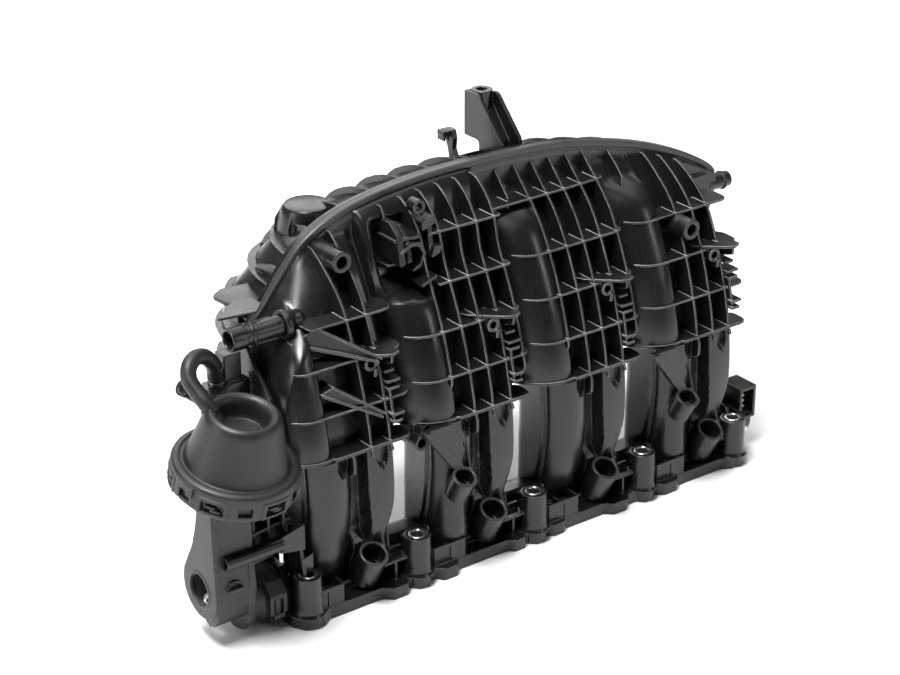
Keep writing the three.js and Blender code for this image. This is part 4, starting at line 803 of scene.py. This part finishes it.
def actuator():
    o = at(31)
    # dome: recessed crown with a fat rounded ring, conical wall, fillet to the brim
    A = Acc()
    prof = [(0.01, 19.6), (9.5, 19.7), (12.2, 20.1), (13.2, 21.2), (13.6, 23), (14.0, 27), (14.5, 29.6), (15.4, 31.2), (16.8, 32.3), (18.4, 32.7), (19.9, 32.2), (21.1, 31.0), (21.9, 29.2),
            (22.6, 27.0), (24.2, 20), (26.4, 12), (28.6, 4.0), (29.4, 1.6), (30.2, 0.5), (31.4, 0.1), (31.6, -0.4), (30.9, -0.9), (27, -0.9), (26.4, 0), (19.6, 26.5), (17, 28), (15.4, 26), (14.9, 18.4), (0.01, 18.0)]
    turned(A, prof, o, AD, 96)
    rod(A, (-211.6, -5.6, 137.5), (-214.4, -2.4, 146.8), 5.4, 4.8, 36, .8)
    finish_piece("dome", A, "grey", nodes=("actuator_dome",), angle=30)
    # lock ring: brim with a fine step, and a castellated skirt with windows and hooks
    A = Acc()
    turned(A, [(30.4, -1.0), (30.9, 0.2), (32.2, 0.35), (32.5, 0.9), (33.2, 1.0), (35.2, .5), (36.2, -.6), (36.6, -2.0), (36.6, -4.6), (36.2, -5), (34.5, -5), (34.3, -4.6), (34.3, -2.4), (33.0, -1.4)], o, AD, 96)
    turned(A, [(33.9, -5.4), (34.2, -5.4), (34.2, -6.2), (33.9, -6.2)], o, AD, 96)
    x = basis(o, AD)
    N = 12
    for i in range(N):
        a = 2 * math.pi * (i + 0.28) / N
        w = 2 * math.pi / N
        if i % 2 == 0:
            # frame round a square window
            sector(A, 34.3, 36.6, -14.4, -4.4, a - .50 * w, a - .22 * w, x, 5)
            sector(A, 34.3, 36.6, -14.4, -4.4, a + .22 * w, a + .50 * w, x, 5)
            sector(A, 34.3, 36.6, -6.8, -4.4, a - .24 * w, a + .24 * w, x, 5)
            sector(A, 34.3, 36.6, -14.4, -12.4, a - .24 * w, a + .24 * w, x, 5)
        else:
            # open notch with a raised surround and a latch hook inside
            sector(A, 34.3, 37.0, -15.0, -4.4, a - .50 * w, a - .36 * w, x, 4)
            sector(A, 34.3, 37.0, -15.0, -4.4, a + .36 * w, a + .50 * w, x, 4)
            sector(A, 34.3, 36.8, -15.0, -13.2, a - .38 * w, a + .38 * w, x, 6)
            sector(A, 33.9, 36.4, -10.4, -8.6, a - .22 * w, a + .10 * w, x, 4)
            sector(A, 33.9, 36.2, -12.6, -10.6, a - .06 * w, a + .26 * w, x, 4)
            sector(A, 34.3, 37.3, -6.2, -4.0, a - .44 * w, a + .44 * w, x, 6)
    # the long hook at the far left
    a = math.radians(196)
    sector(A, 36.4, 38.2, -8.0, -1.6, a - .06, a + .06, x, 3)
    finish_piece("lock_ring", A, "grey", nodes=("actuator_lock_ring",), angle=34)
    # cup behind the windows, floor and bush seat
    A = Acc()
    c0 = at(50)
    turned(A, [(4.3, 0), (30.2, 0), (32.6, .8), (33.8, 3), (34.0, 6), (34.0, 15.4), (33.6, 16), (31.6, 16), (31.2, 15.6), (31.2, 4.6), (29.6, 3), (4.3, 3)], c0, AD, 96)
    for i in range(8):
        t = 2 * math.pi * (i + .5) / 8
        xx = basis(c0, AD) @ Matrix.Rotation(t, 4, 'Z')
        prism(A, [(12, -5), (29, -1.0), (29, .6), (12, .6)], 'y', -.8, .8, e=.3, xf=xx)
    turned(A, [(4.3, 0.2), (4.3, -4), (4.7, -4.6), (7.4, -4.6), (8.0, -4), (8.6, .2)], c0, AD, 40)
    # bracket: eye plate, front wall, cheek, foot with its pocket
    eye = [(-21, 34), (-20.6, 30.5), (-18.9, 26), (-15.5, 21.8), (-11, 19), (-6, 17.7), (-1, 17.6), (4, 18.9), (8.6, 21.8), (12, 25.6), (14.3, 30), (15, 35.5), (13.8, 43), (9, 52), (3.5, 62), (-1, 76), (-4, 90), (-7, 97), (-14, 99), (-19, 96), (-19.4, 70)]
    holed_plate(A, rounded(eye, 3, 3), [circle(-3, 35.5, 9.5, 44)], 'x', -226, -222.5, .7)
    turned(A, [(9.5, 0), (10.0, -.5), (11.2, -.5), (11.8, 0)], (-226, -3, 35.5), (1, 0, 0), 44)
    # front wall, broad and slightly hollow
    secs = []
    for z, y0, xr in ((18.5, -13.6, -205), (22, -17.4, -201.5), (26, -19.4, -199), (31, -20.6, -198), (38, -20.4, -197.6), (50, -19.4, -198), (62, -18.8, -199), (76, -18.6, -199), (88, -18.4, -198), (95, -18.4, -197)):
        s = [(-225.2, y0 + 1.2, z), (-224.4, y0 + .3, z), (-223, y0, z), (-212, y0 + .5, z), (xr - 3, y0 + .4, z), (xr - 1, y0 + .8, z), (xr, y0 + 2, z), (xr, y0 + 4.6, z), (xr - 1, y0 + 5, z), (-212, y0 + 4.4, z), (-225, y0 + 4.4, z)]
        secs.append(s)
    loft(A, [s[::-1] for s in secs][::-1])
    # foot under the shaft end
    foot = rounded([(-20.4, 32), (-19.6, 26), (-17.4, 20), (-13, 14.4), (-8, 12), (-2, 14.6), (-6, 17.6), (-12, 20), (-16, 27), (-16.4, 34)], 1.5, 3)
    prism(A, foot, 'x', -223.5, -199.8, e=.8)
    # cheek with the bearing round the shaft
    cheek = rounded([(-20.8, 40), (-20.4, 26), (-17.6, 12), (-10, 3.8), (0, 1.4), (10, 4.2), (16, 11.5), (17.6, 19), (17, 26), (13.4, 33), (14, 60), (-4, 60), (-13.5, 93), (-18.4, 94), (-19, 60)], 3, 4)
    holed_plate(A, cheek, [circle(0, 19, 5, 32)], 'x', -203.4, -199.5, .6)
    # half-moon pocket: a dark slot with a lip on the front wall
    prism(A, rounded([(-218.6, 40.6), (-208, 40.6), (-208, 38.8), (-218.6, 38.8)], .6, 2), 'y', -22.6, -18.6, e=.3)
    turned(A, [(4.2, 0), (4.6, -.5), (5.3, -.5), (5.6, 0), (5.6, 1.6), (4.2, 1.6)], (-213.3, -20.6, 39.4), (0, 1, 0), 32, math.radians(180), math.radians(360))
    prism(A, [(-218, 16), (-212, 10), (-199.6, 10), (-199.6, 37), (-218, 37)], 'y', 19.6, 21.2, e=.4)
    prism(A, [(-200.6, 48), (-168, 48), (-168, 86), (-176, 90), (-200.6, 92)], 'y', -6, -3.6, e=.4)
    for xx in (-196, -186, -176):
        prism(A, [(-15, 56), (-6, 48), (-5, 48), (-5, 88), (-15, 90)], 'x', xx - .8, xx + .8, e=.3)
    prism(A, [(-200, -17), (-170, -12), (-170, -5), (-200, -5)], 'z', 66, 67.8, e=.35)
    prism(A, [(-200, -17), (-170, -12), (-170, -5), (-200, -5)], 'z', 48, 49.8, e=.35)
    # fork to the flange side
    prism(A, [(17.5, 24), (22, 30), (22, 44), (12, 44), (12, 37)], 'x', -203.4, -176.2, e=.7, r=1.5)
    prism(A, [(2, 31), (20, 31), (20, 44), (2, 44)], 'x', -203.4, -199.5, e=.5, r=1)
    # thin wing struts under the ring, right of the column, switched off: the line below builds nothing
    prism(A, [(-19.5, 60), (-17.5, 60), (-17.5, 92), (-19.5, 92)], 'x', -197.5, -188, e=.3) if False else None
    prism(A, [(-204, 86), (-190, 90), (-190, 97), (-204, 97)], 'y', -20.2, -18.6, e=.4, r=1)
    finish_piece("cup_bracket", A, "grey", nodes=("actuator_cup",), angle=34)
    # cap over the shaft end with two ridges, a split clip and its window
    A = Acc()
    turned(A, [(6, 0), (13.0, 0), (14.9, .8), (15.6, 2.4), (15.6, 6.4), (16.0, 7.0), (16.8, 7.6), (16.8, 11.6), (16.2, 12.2), (15.7, 12.6), (15.7, 13.4), (16.8, 14.2), (16.8, 17.6), (16.2, 18.4), (15.6, 18.8), (15.6, 21.4), (15.0, 22), (6, 22)], (-199.2, 0, 19), (1, 0, 0), 72)
    finish_piece("shaft_cap", A, "grey", nodes=("lever_cap",), angle=30)
    A = Acc()
    prism(A, [(-20.4, 9.6), (-18.6, 9.4), (-18.6, 12.2), (-20.4, 12.6)], 'x', -190, -178.5, e=.4)
    prism(A, [(-20.4, 22.4), (-18.4, 22.2), (-17.4, 25), (-19.4, 25.4)], 'x', -190, -178.5, e=.4)
    prism(A, [(-20.4, 9.8), (-18.4, 9.8), (-18.4, 25), (-20.4, 25)], 'x', -190, -187.4, e=.4)
    prism(A, [(-20.4, 9.8), (-18.4, 9.8), (-18.4, 25), (-20.4, 25)], 'x', -181.2, -178.5, e=.4)
    prism(A, [(-19.3, 12), (-17.3, 12), (-17.3, 23), (-19.3, 23)], 'x', -186, -182.4, e=.4)
    prism(A, [(-20.4, 24.4), (-19.0, 25.2), (-13, 31), (-14.2, 31.6)], 'x', -190, -178.5, e=.4)
    finish_piece("clip", A, "grey", nodes=("cap_clip",), angle=34)
    # rod seat and moving rod keep the CAD shape

def hose():
    A = Acc()
    pts = [(-212.8, -4.6, 144.6), (-215.4, -1.6, 149.6), (-217.2, 4, 154.6), (-218.2, 10, 160.2), (-215.6, 14, 165.4), (-210.1, 17, 168.0), (-203.5, 19, 166.6), (-197.5, 21, 161.0), (-194.6, 22.6, 155.4)]
    sweep(A, pts, 4.6, 32, 8)
    finish_piece("hose", A, "rubber", nodes=("vacuum_hose",), angle=50)
    # ribbed sleeve, metal ring, flat connector and its lead into the shell
    A = Acc()
    p0, p1 = Vector((-193.9, 22.4, 157.0)), Vector((-192.3, 25.2, 146.4))
    prof = [(0.01, 0)]
    for i in range(5):
        h = i * 2.0
        prof += [(4.4, h + .1), (5.0, h + .5), (5.0, h + 1.2), (4.3, h + 1.7)]
    prof += [(4.3, 10.4), (0.01, 10.4)]
    turned(A, prof, p0, p1 - p0, 40)
    finish_piece("hose_sleeve", A, "rubber")
    A = Acc()
    tube(A, (-192.3, 25.1, 146.6), (-192.2, 25.3, 144.6), 5.1, 3.0, 36)
    finish_piece("hose_ring", A, "metal")
    A = Acc()
    prism(A, [(-198.8, 19.6), (-176, 19.6), (-176, 31), (-198.8, 31)], 'z', 139.5, 143.4, e=.7, r=2.5, n=4)
    prism(A, [(-197, 21), (-178, 21), (-178, 30), (-197, 30)], 'z', 131.2, 140, e=.6, r=1.5)
    prism(A, [(-182, 22), (-171.8, 22), (-171.8, 30), (-182, 30)], 'z', 118, 143, e=.7, r=1.5)
    for zz in (133.5, 136.2):
        prism(A, [(-199.2, 19.9), (-190, 19.9), (-190, 22), (-199.2, 22)], 'z', zz, zz + 1.1, e=.3)
    rod(A, (-197, 21, 134), (-218.4, 16.05, 152.7), 4.7, 4.7, 40, .9)
    tube(A, (-216.8, 16.4, 151.2), (-219.2, 15.9, 153.4), 5.1, 3.6, 40, .4)
    # saddle under the hose end and the upright block beside it
    prism(A, [(-206, 12), (-198, 10), (-186, 20), (-186, 30), (-199, 30)], 'z', 143.2, 145, e=.5, r=1)
    prism(A, [(-187.5, 24), (-176, 24), (-176, 34), (-187.5, 34)], 'z', 140, 160, e=.6, r=1)
    finish_piece("hose_connector", A, "shell", nodes=("hose_fitting",))

def nozzle():
    A = Acc()
    o = (-188, 18, 172)
    prof = [(5.0, 1.2), (5.5, 0.3), (6.2, 0), (6.7, .35), (6.95, 1.0), (6.95, 9.2), (6.6, 9.9), (6.1, 10.4), (6.1, 12.6), (6.5, 13.2), (7.0, 13.6), (7.1, 14.4), (7.0, 15.2), (6.4, 15.8), (6.2, 16.4), (6.3, 33.6), (5.0, 34.6), (4.9, 47), (3.3, 47), (3.3, 9), (4.9, 8)]
    turned(A, prof, o, (1, 0, 0), 56)
    for t in (40, 140, 220, 320):
        xx = Matrix.Translation(Vector(o)) @ Matrix.Rotation(math.radians(t), 4, 'X')
        prism(A, [(6.0, 0), (6.9, 0), (6.9, 14), (6.0, 14)], 'y', -.6, .6, e=.25, xf=xx @ Matrix(((0, 0, 1, 16), (0, 1, 0, 0), (1, 0, 0, 0), (0, 0, 0, 1))))
    finish_piece("nozzle", A, "shell", nodes=("vacuum_nozzle",), angle=30)
    A = Acc()
    prism(A, [(-190, 26), (-166, 22), (-158, 30), (-158, 40), (-170, 42)], 'z', 181.2, 182.8, e=.4, r=1.2)
    finish_piece("nozzle_plate", A, "shell")
actuator(); hose(); nozzle()

# ------------------------------------------------------------------- plenum
RC = (8, 165)
def lay(d):
    return (1 - d / 190, 1 - d / 62)
def plenum():
    A = Acc()
    base = offset(RIMS, 1.0)
    # depth line of the hull: y against how far the outline has drawn in
    line = [(44.3, 4.6), (47, 5.0), (54, 6.0), (62, 7.4), (70, 9.4), (78, 12.2), (86, 16.0), (92, 20.0), (97, 24.6), (101, 29.4), (104, 33.6), (105.6, 37.4), (106, 42), (106, 48)]
    secs = []
    for y, d in line:
        kx, kz = lay(d)
        secs.append([(RC[0] + (x - RC[0]) * kx, y, RC[1] + (z - RC[1]) * kz) for x, z in base])
    loft(A, secs)
    # back half of the rim
    q0, q1 = RIMS, offset(RIMS, 10)
    prof = [(0.0, 44.3), (0.0, 47.2), (.5, 48), (1.4, 48.3), (8.2, 48.3), (9.0, 49), (10, 51), (10, 44.3)]
    rings = [[(p[0], y, p[1]) for p in offset(RIMS, d)] for d, y in prof]
    loft(A, [list(s) for s in zip(*rings)], closed=True)
    finish_piece("plenum_hull", A, "shell", nodes=("rear_shell",), angle=34)
    # outside rib grid
    A = Acc()
    import bisect
    ys = [l[0] for l in line]
    def dof(y):
        i = max(1, min(len(line) - 1, bisect.bisect_left(ys, y)))
        (ya, da), (yb, db) = line[i - 1], line[i]
        u = 0 if yb == ya else (y - ya) / (yb - ya)
        return da + (db - da) * max(0, min(1, u))
    def top_at(x, d):
        kx, kz = lay(d)
        xx = RC[0] + (x - RC[0]) / kx
        return RC[1] + (ztop(xx) - 1 - RC[1]) * kz
    def bot_at(d):
        return RC[1] + (104 - RC[1]) * lay(d)[1]
    Y = [46, 54, 62, 70, 78, 86, 92, 97, 101, 104]
    for i, x in enumerate((-134, -112, -90, -68, -46, -24, -2, 50, 72, 94, 116, 138, 158)):
        h = 4.2
        pts = [(y, top_at(x, dof(y)) + (h if y > 50 else 1.5)) for y in Y if abs(x - 8) < 150 * lay(dof(y))[0]]
        if len(pts) < 4: continue
        ylast = pts[-1][0]
        pts += [(min(ylast + 3.6, 109.4), pts[-1][1] - 4), (min(ylast + 3.6, 109.4), bot_at(40)), (Y[-1] if ylast >= 104 else ylast, bot_at(36) - 2)]
        low = [(y, bot_at(dof(y)) - (3.2 if y > 50 else 1)) for y in reversed(Y) if y < ylast]
        pts += low
        back = pts
        prism(A, pts, 'x', x - .9, x + .9, e=.4)
    for z in (128, 146, 164, 182, 198):
        pts = []
        for s in (1, -1):
            seq = Y if s == 1 else list(reversed(Y))
            for y in seq:
                d = dof(y) - 3.0
                kx, kz = lay(d)
                zz = RC[1] + (z - RC[1]) / kz
                if zz > 228 or zz < 104: continue
                hits = []
                m = len(base)
                for j in range(m):
                    a, b = base[j], base[(j + 1) % m]
                    if (a[1] - zz) * (b[1] - zz) <= 0 and a[1] != b[1]:
                        hits.append(a[0] + (b[0] - a[0]) * (zz - a[1]) / (b[1] - a[1]))
                if not hits: continue
                xx = max(hits) if s == 1 else min(hits)
                pts.append((RC[0] + (xx - RC[0]) * kx, min(y + 2.8, 109)))
        if len(pts) > 5:
            prism(A, pts, 'z', z - .9, z + .9, e=.4)
    finish_piece("plenum_ribs", A, "shell")
    # throttle flange
    A = Acc()
    cx, cz = 12, 142
    of = rounded([(cx - 44, cz - 42), (cx + 44, cz - 42), (cx + 44, cz + 42), (cx - 44, cz + 42)], 12, 8)
    scr = [(cx + a, cz + b) for a in (-34, 34) for b in (-32, 32)]
    holed_plate(A, of, [circle(cx, cz, 36.9, 72)] + [circle(a, b, 4.15, 24) for a, b in scr], 'y', 116, 122, .6)
    tube_prof = [(31.0, 88), (31.0, 121.4), (31.6, 122), (32.9, 122), (33.3, 121.6), (33.3, 119.4), (36.9, 119.4), (37.0, 113), (36.4, 88)]
    turned(A, [(r, h - 88) for r, h in tube_prof], (cx, 88, cz), (0, 1, 0), 96)
    holed_plate(A, offset(of, 1.5), [circle(cx, cz, 34, 72)], 'y', 110, 116.6, .6)
    for a, b in scr:
        turned(A, [(4.15, 0), (4.15, 24), (7.2, 24), (7.6, 0)], (a, 97, b), (0, 1, 0), 32)
        turned(A, [(0.01, 0), (4.2, 0), (4.2, 8), (0.01, 8)], (a, 97, b), (0, 1, 0), 24)
    for t in range(16):
        xx = Matrix.Translation((cx, 0, cz)) @ Matrix.Rotation(math.radians(22.5 * t + 11), 4, 'Y')
        prism(A, [(35.5, 96), (39, 104), (43, 113.5), (35.5, 113.5)], 'z', -.9, .9, e=.3, xf=xx)
    finish_piece("throttle_flange", A, "shell", angle=34)
    for i, (a, b) in enumerate(((cx - 34, cz - 32), (cx + 34, cz - 32), (cx - 34, cz + 32), (cx + 34, cz + 32))):
        S2 = Acc()
        prof = [(2.5, .8), (2.9, .3), (3.7, .3), (4.0, .7)]
        for j in range(6):
            prof += [(4.0, 1.6 + 2 * j), (3.7, 1.9 + 2 * j), (3.7, 2.5 + 2 * j), (4.0, 2.8 + 2 * j)]
        prof += [(4.0, 14.0), (3.7, 14.2), (2.9, 14.2), (2.5, 13.8)]
        turned(S2, prof, (a, 107.4, b), (0, 1, 0), 40)
        finish_piece(f"insert_{i + 1}", S2, "brass", nodes=(f"throttle_insert_{i + 1}",))
    # support bracket on top: two cheeks, a web set back between them, a boss with a hole
    A = Acc()
    side = rounded([(50, 214), (73, 194), (73, 226), (88, 226), (88, 255), (74, 255), (50, 230)], [0, 0, 3, 1.5, 1.5, 5, 3], 4)
    prism(A, side, 'x', 29, 31.3, e=.5)
    right = rounded([(50, 214), (76, 194), (76, 236), (80, 244), (79, 254), (73, 254.6), (50, 231)], [0, 0, 3, 3, 5, 9, 4], 5)
    prism(A, right, 'x', 42.7, 45, e=.5)
    prism(A, rounded([(60, 205), (63, 205), (63, 226), (82, 248), (82, 254.6), (78, 254.6), (78, 248), (60, 227)], 1, 2), 'x', 30, 44, e=.4)
    prism(A, [(86, 226), (88, 226), (88, 254.6), (86, 254.6)], 'x', 29.2, 40, e=.5)
    prism(A, [(74, 226), (88, 226), (88, 228), (74, 228)], 'x', 29.2, 40, e=.5)
    tube(A, (37, 80.5, 230), (37, 80.5, 256), 6.6, 3.3, 44, .5)
    finish_piece("top_bracket", A, "shell", angle=34)
    # hook, wing, bump
    A = Acc()
    stem = rounded([(60, 210), (70, 208), (77, 216), (79.5, 225), (82.5, 231), (82, 236.4), (74.6, 236.4), (73, 231), (74, 225), (70, 217), (60, 214)], 2, 3)
    prism(A, stem, 'x', 9.6, 13.2, e=.6)
    prism(A, rounded([(3.2, 74.4), (13.4, 74.4), (13.4, 81.6), (3.2, 81.6)], 1.5, 3), 'z', 233.4, 236.6, e=.6)
    for xx in (3.6, 6.6):
        prism(A, [(74.6, 230.5), (81.4, 230.5), (81.4, 236.8), (74.6, 236.8)], 'x', xx, xx + 1.4, e=.4)
    # shallow open box between hook and bracket
    prism(A, [(54, 208), (74, 206), (74, 220), (54, 226)], 'x', 8.8, 10.6, e=.5)
    prism(A, [(54, 208), (56, 208), (56, 224.4), (54, 225)], 'x', 9, 29, e=.4)
    prism(A, [(72, 204), (74, 204), (74, 219.5), (72, 220)], 'x', 9, 29, e=.4)
    prism(A, [(8.8, 54), (29, 54), (29, 74), (8.8, 74)], 'z', 210, 212, e=.4)
    secs = []
    wing = [(-140, 50), (-130, 74), (-156, 78), (-165, 72), (-164, 60), (-158, 50)]
    prism(A, rounded(wing, 4, 4), 'z', 171.5, 174.3, e=.7)
    prism(A, [(-158, 56), (-150, 56), (-140, 62), (-140, 66), (-158, 62)], 'z', 160, 172, e=.5, r=1)
    turned(A, [(0.01, 216), (10, 216), (13.6, 215.4), (15.4, 213.6), (16.2, 210), (17.4, 204), (19.6, 192), (20, 186), (0.01, 186)], (-98, 72, 0), (0, 0, 1), 64)
    for t in range(6):
        xx = Matrix.Translation((-98, 72, 0)) @ Matrix.Rotation(math.radians(60 * t + 20), 4, 'Z')
        prism(A, [(14, 190), (21, 190), (19.4, 206), (15, 214)], 'y', -.8, .8, e=.3, xf=xx)
    # rounded tab at the right end of the rim
    prism(A, rounded([(183, 154), (197, 154), (197, 166), (183, 166)], 5, 4), 'y', 44.6, 48.2, e=.5)
    finish_piece("plenum_fittings", A, "shell", angle=34)
plenum()

# ------------------------------------------------------------------- sensor
def sensor():
    A = Acc()
    turned(A, [(9.4, 0), (12.0, 0), (12.5, .5), (12.5, 13.4), (11.8, 14.4), (0.01, 14.4), (0.01, 12.2), (9.4, 12.2)], (177.6, 0, 19), (1, 0, 0), 56)
    # connector shroud, open at the front
    for y0, y1, z0, z1, x0, x1 in ((-15, 4, 23, 25, 178.4, 192.6), (-15, 4, 43.6, 46, 178.4, 192.6), (-15, 4, 24, 45, 178.4, 180.8), (-15, 4, 24, 45, 190.4, 192.6), (-3.2, 4, 24, 45, 179, 192)):
        prism(A, [(x0, y0), (x1, y0), (x1, y1), (x0, y1)], 'z', z0, z1, e=.45, r=.5)
    prism(A, [(180, -9), (191, -9), (191, -4), (180, -4)], 'z', 45.6, 47.2, e=.4, r=.6) if False else None
    prism(A, [(-11, 27), (-8, 27), (-4, 29), (-4, 41), (-8, 42), (-11, 42)], 'x', 192.0, 192.6, e=.2)
    holed_plate(A, rounded([(-20.5, 7), (21.5, 7), (21.5, 31), (-20.5, 31)], 6, 5), [circle(-16.5, 19, 2.4, 20), circle(17.5, 19, 2.4, 20), circle(0, 19, 9.4, 40)], 'x', 176.2, 179.2, .5)
    for t in (60, 120, 240, 300):
        xx = Matrix.Translation((184, 0, 19)) @ Matrix.Rotation(math.radians(t), 4, 'X')
        prism(A, [(-5.5, 12), (5.5, 12), (5.5, 13.2), (-5.5, 13.2)], 'y', -.7, .7, e=.25, xf=xx)
    finish_piece("sensor_body", A, "shell", nodes=("sensor_housing",), angle=34)
    for i, a in enumerate((-16.5, 17.5)):
        S2 = Acc()
        turned(S2, [(0.01, 0), (2.1, 0), (2.1, 3.4), (3.4, 3.4), (3.5, 3.8), (3.4, 5.4), (2.9, 6.0), (1.7, 6.1), (1.5, 4.6), (0.01, 4.5)], (176.1, a, 19), (1, 0, 0), 32)
        finish_piece(f"sensor_bolt_{i + 1}", S2, "metal", nodes=(f"sensor_screw_{i + 1}",))
sensor()

# -------------------------------------------------------------------- stage
def stage():
    me = bpy.data.meshes.new("floor")
    s = 9.0
    n = 12
    v = [(-s + 2 * s * i / n, -s + 2 * s * j / n, 0.0) for i in range(n + 1) for j in range(n + 1)]
    f = [(i * (n + 1) + j, (i + 1) * (n + 1) + j, (i + 1) * (n + 1) + j + 1, i * (n + 1) + j + 1) for i in range(n) for j in range(n)]
    me.from_pydata(v, [], f)
    o = bpy.data.objects.new("floor", me)
    bpy.context.scene.collection.objects.link(o)
    m = bpy.data.materials.new("floor_paper"); m.use_nodes = True
    p = m.node_tree.nodes["Principled BSDF"]
    p.inputs["Base Color"].default_value = (0.93, 0.93, 0.935, 1)
    p.inputs["Roughness"].default_value = 0.75
    p.inputs["Specular IOR Level"].default_value = 0.2
    me.materials.append(m)
    w = bpy.data.worlds.new("w") if bpy.context.scene.world is None else bpy.context.scene.world
    bpy.context.scene.world = w
    w.use_nodes = True
    bg = w.node_tree.nodes["Background"]
    bg.inputs["Color"].default_value = (0.97, 0.985, 1.0, 1)
    bg.inputs["Strength"].default_value = 0.045
    def light(name, loc, target, sx, sy, power, col=(1, 1, 1)):
        d = bpy.data.lights.new(name, 'AREA')
        d.shape = 'RECTANGLE'; d.size = sx; d.size_y = sy; d.energy = power; d.color = col
        ob = bpy.data.objects.new(name, d)
        bpy.context.scene.collection.objects.link(ob)
        ob.location = loc
        ob.rotation_euler = (Vector(target) - Vector(loc)).to_track_quat('-Z', 'Y').to_euler()
    light("overhead", (0.3, 1.3, 3.2), (0.1, 0.5, 0), 5.0, 4.2, 105)
    light("key", (-0.9, -0.2, 2.6), (0, 0, 0.12), 1.2, 0.7, 108)
    light("left_box", (-2.3, 0.5, 0.9), (0, 0, 0.12), 0.8, 1.5, 17)
    light("back_box", (0.6, 2.1, 1.3), (0, 0, 0.15), 2.2, 0.7, 17)
    light("front_fill", (1.3, -2.0, 1.0), (0, 0, 0.12), 0.35, 1.1, 7)
stage()
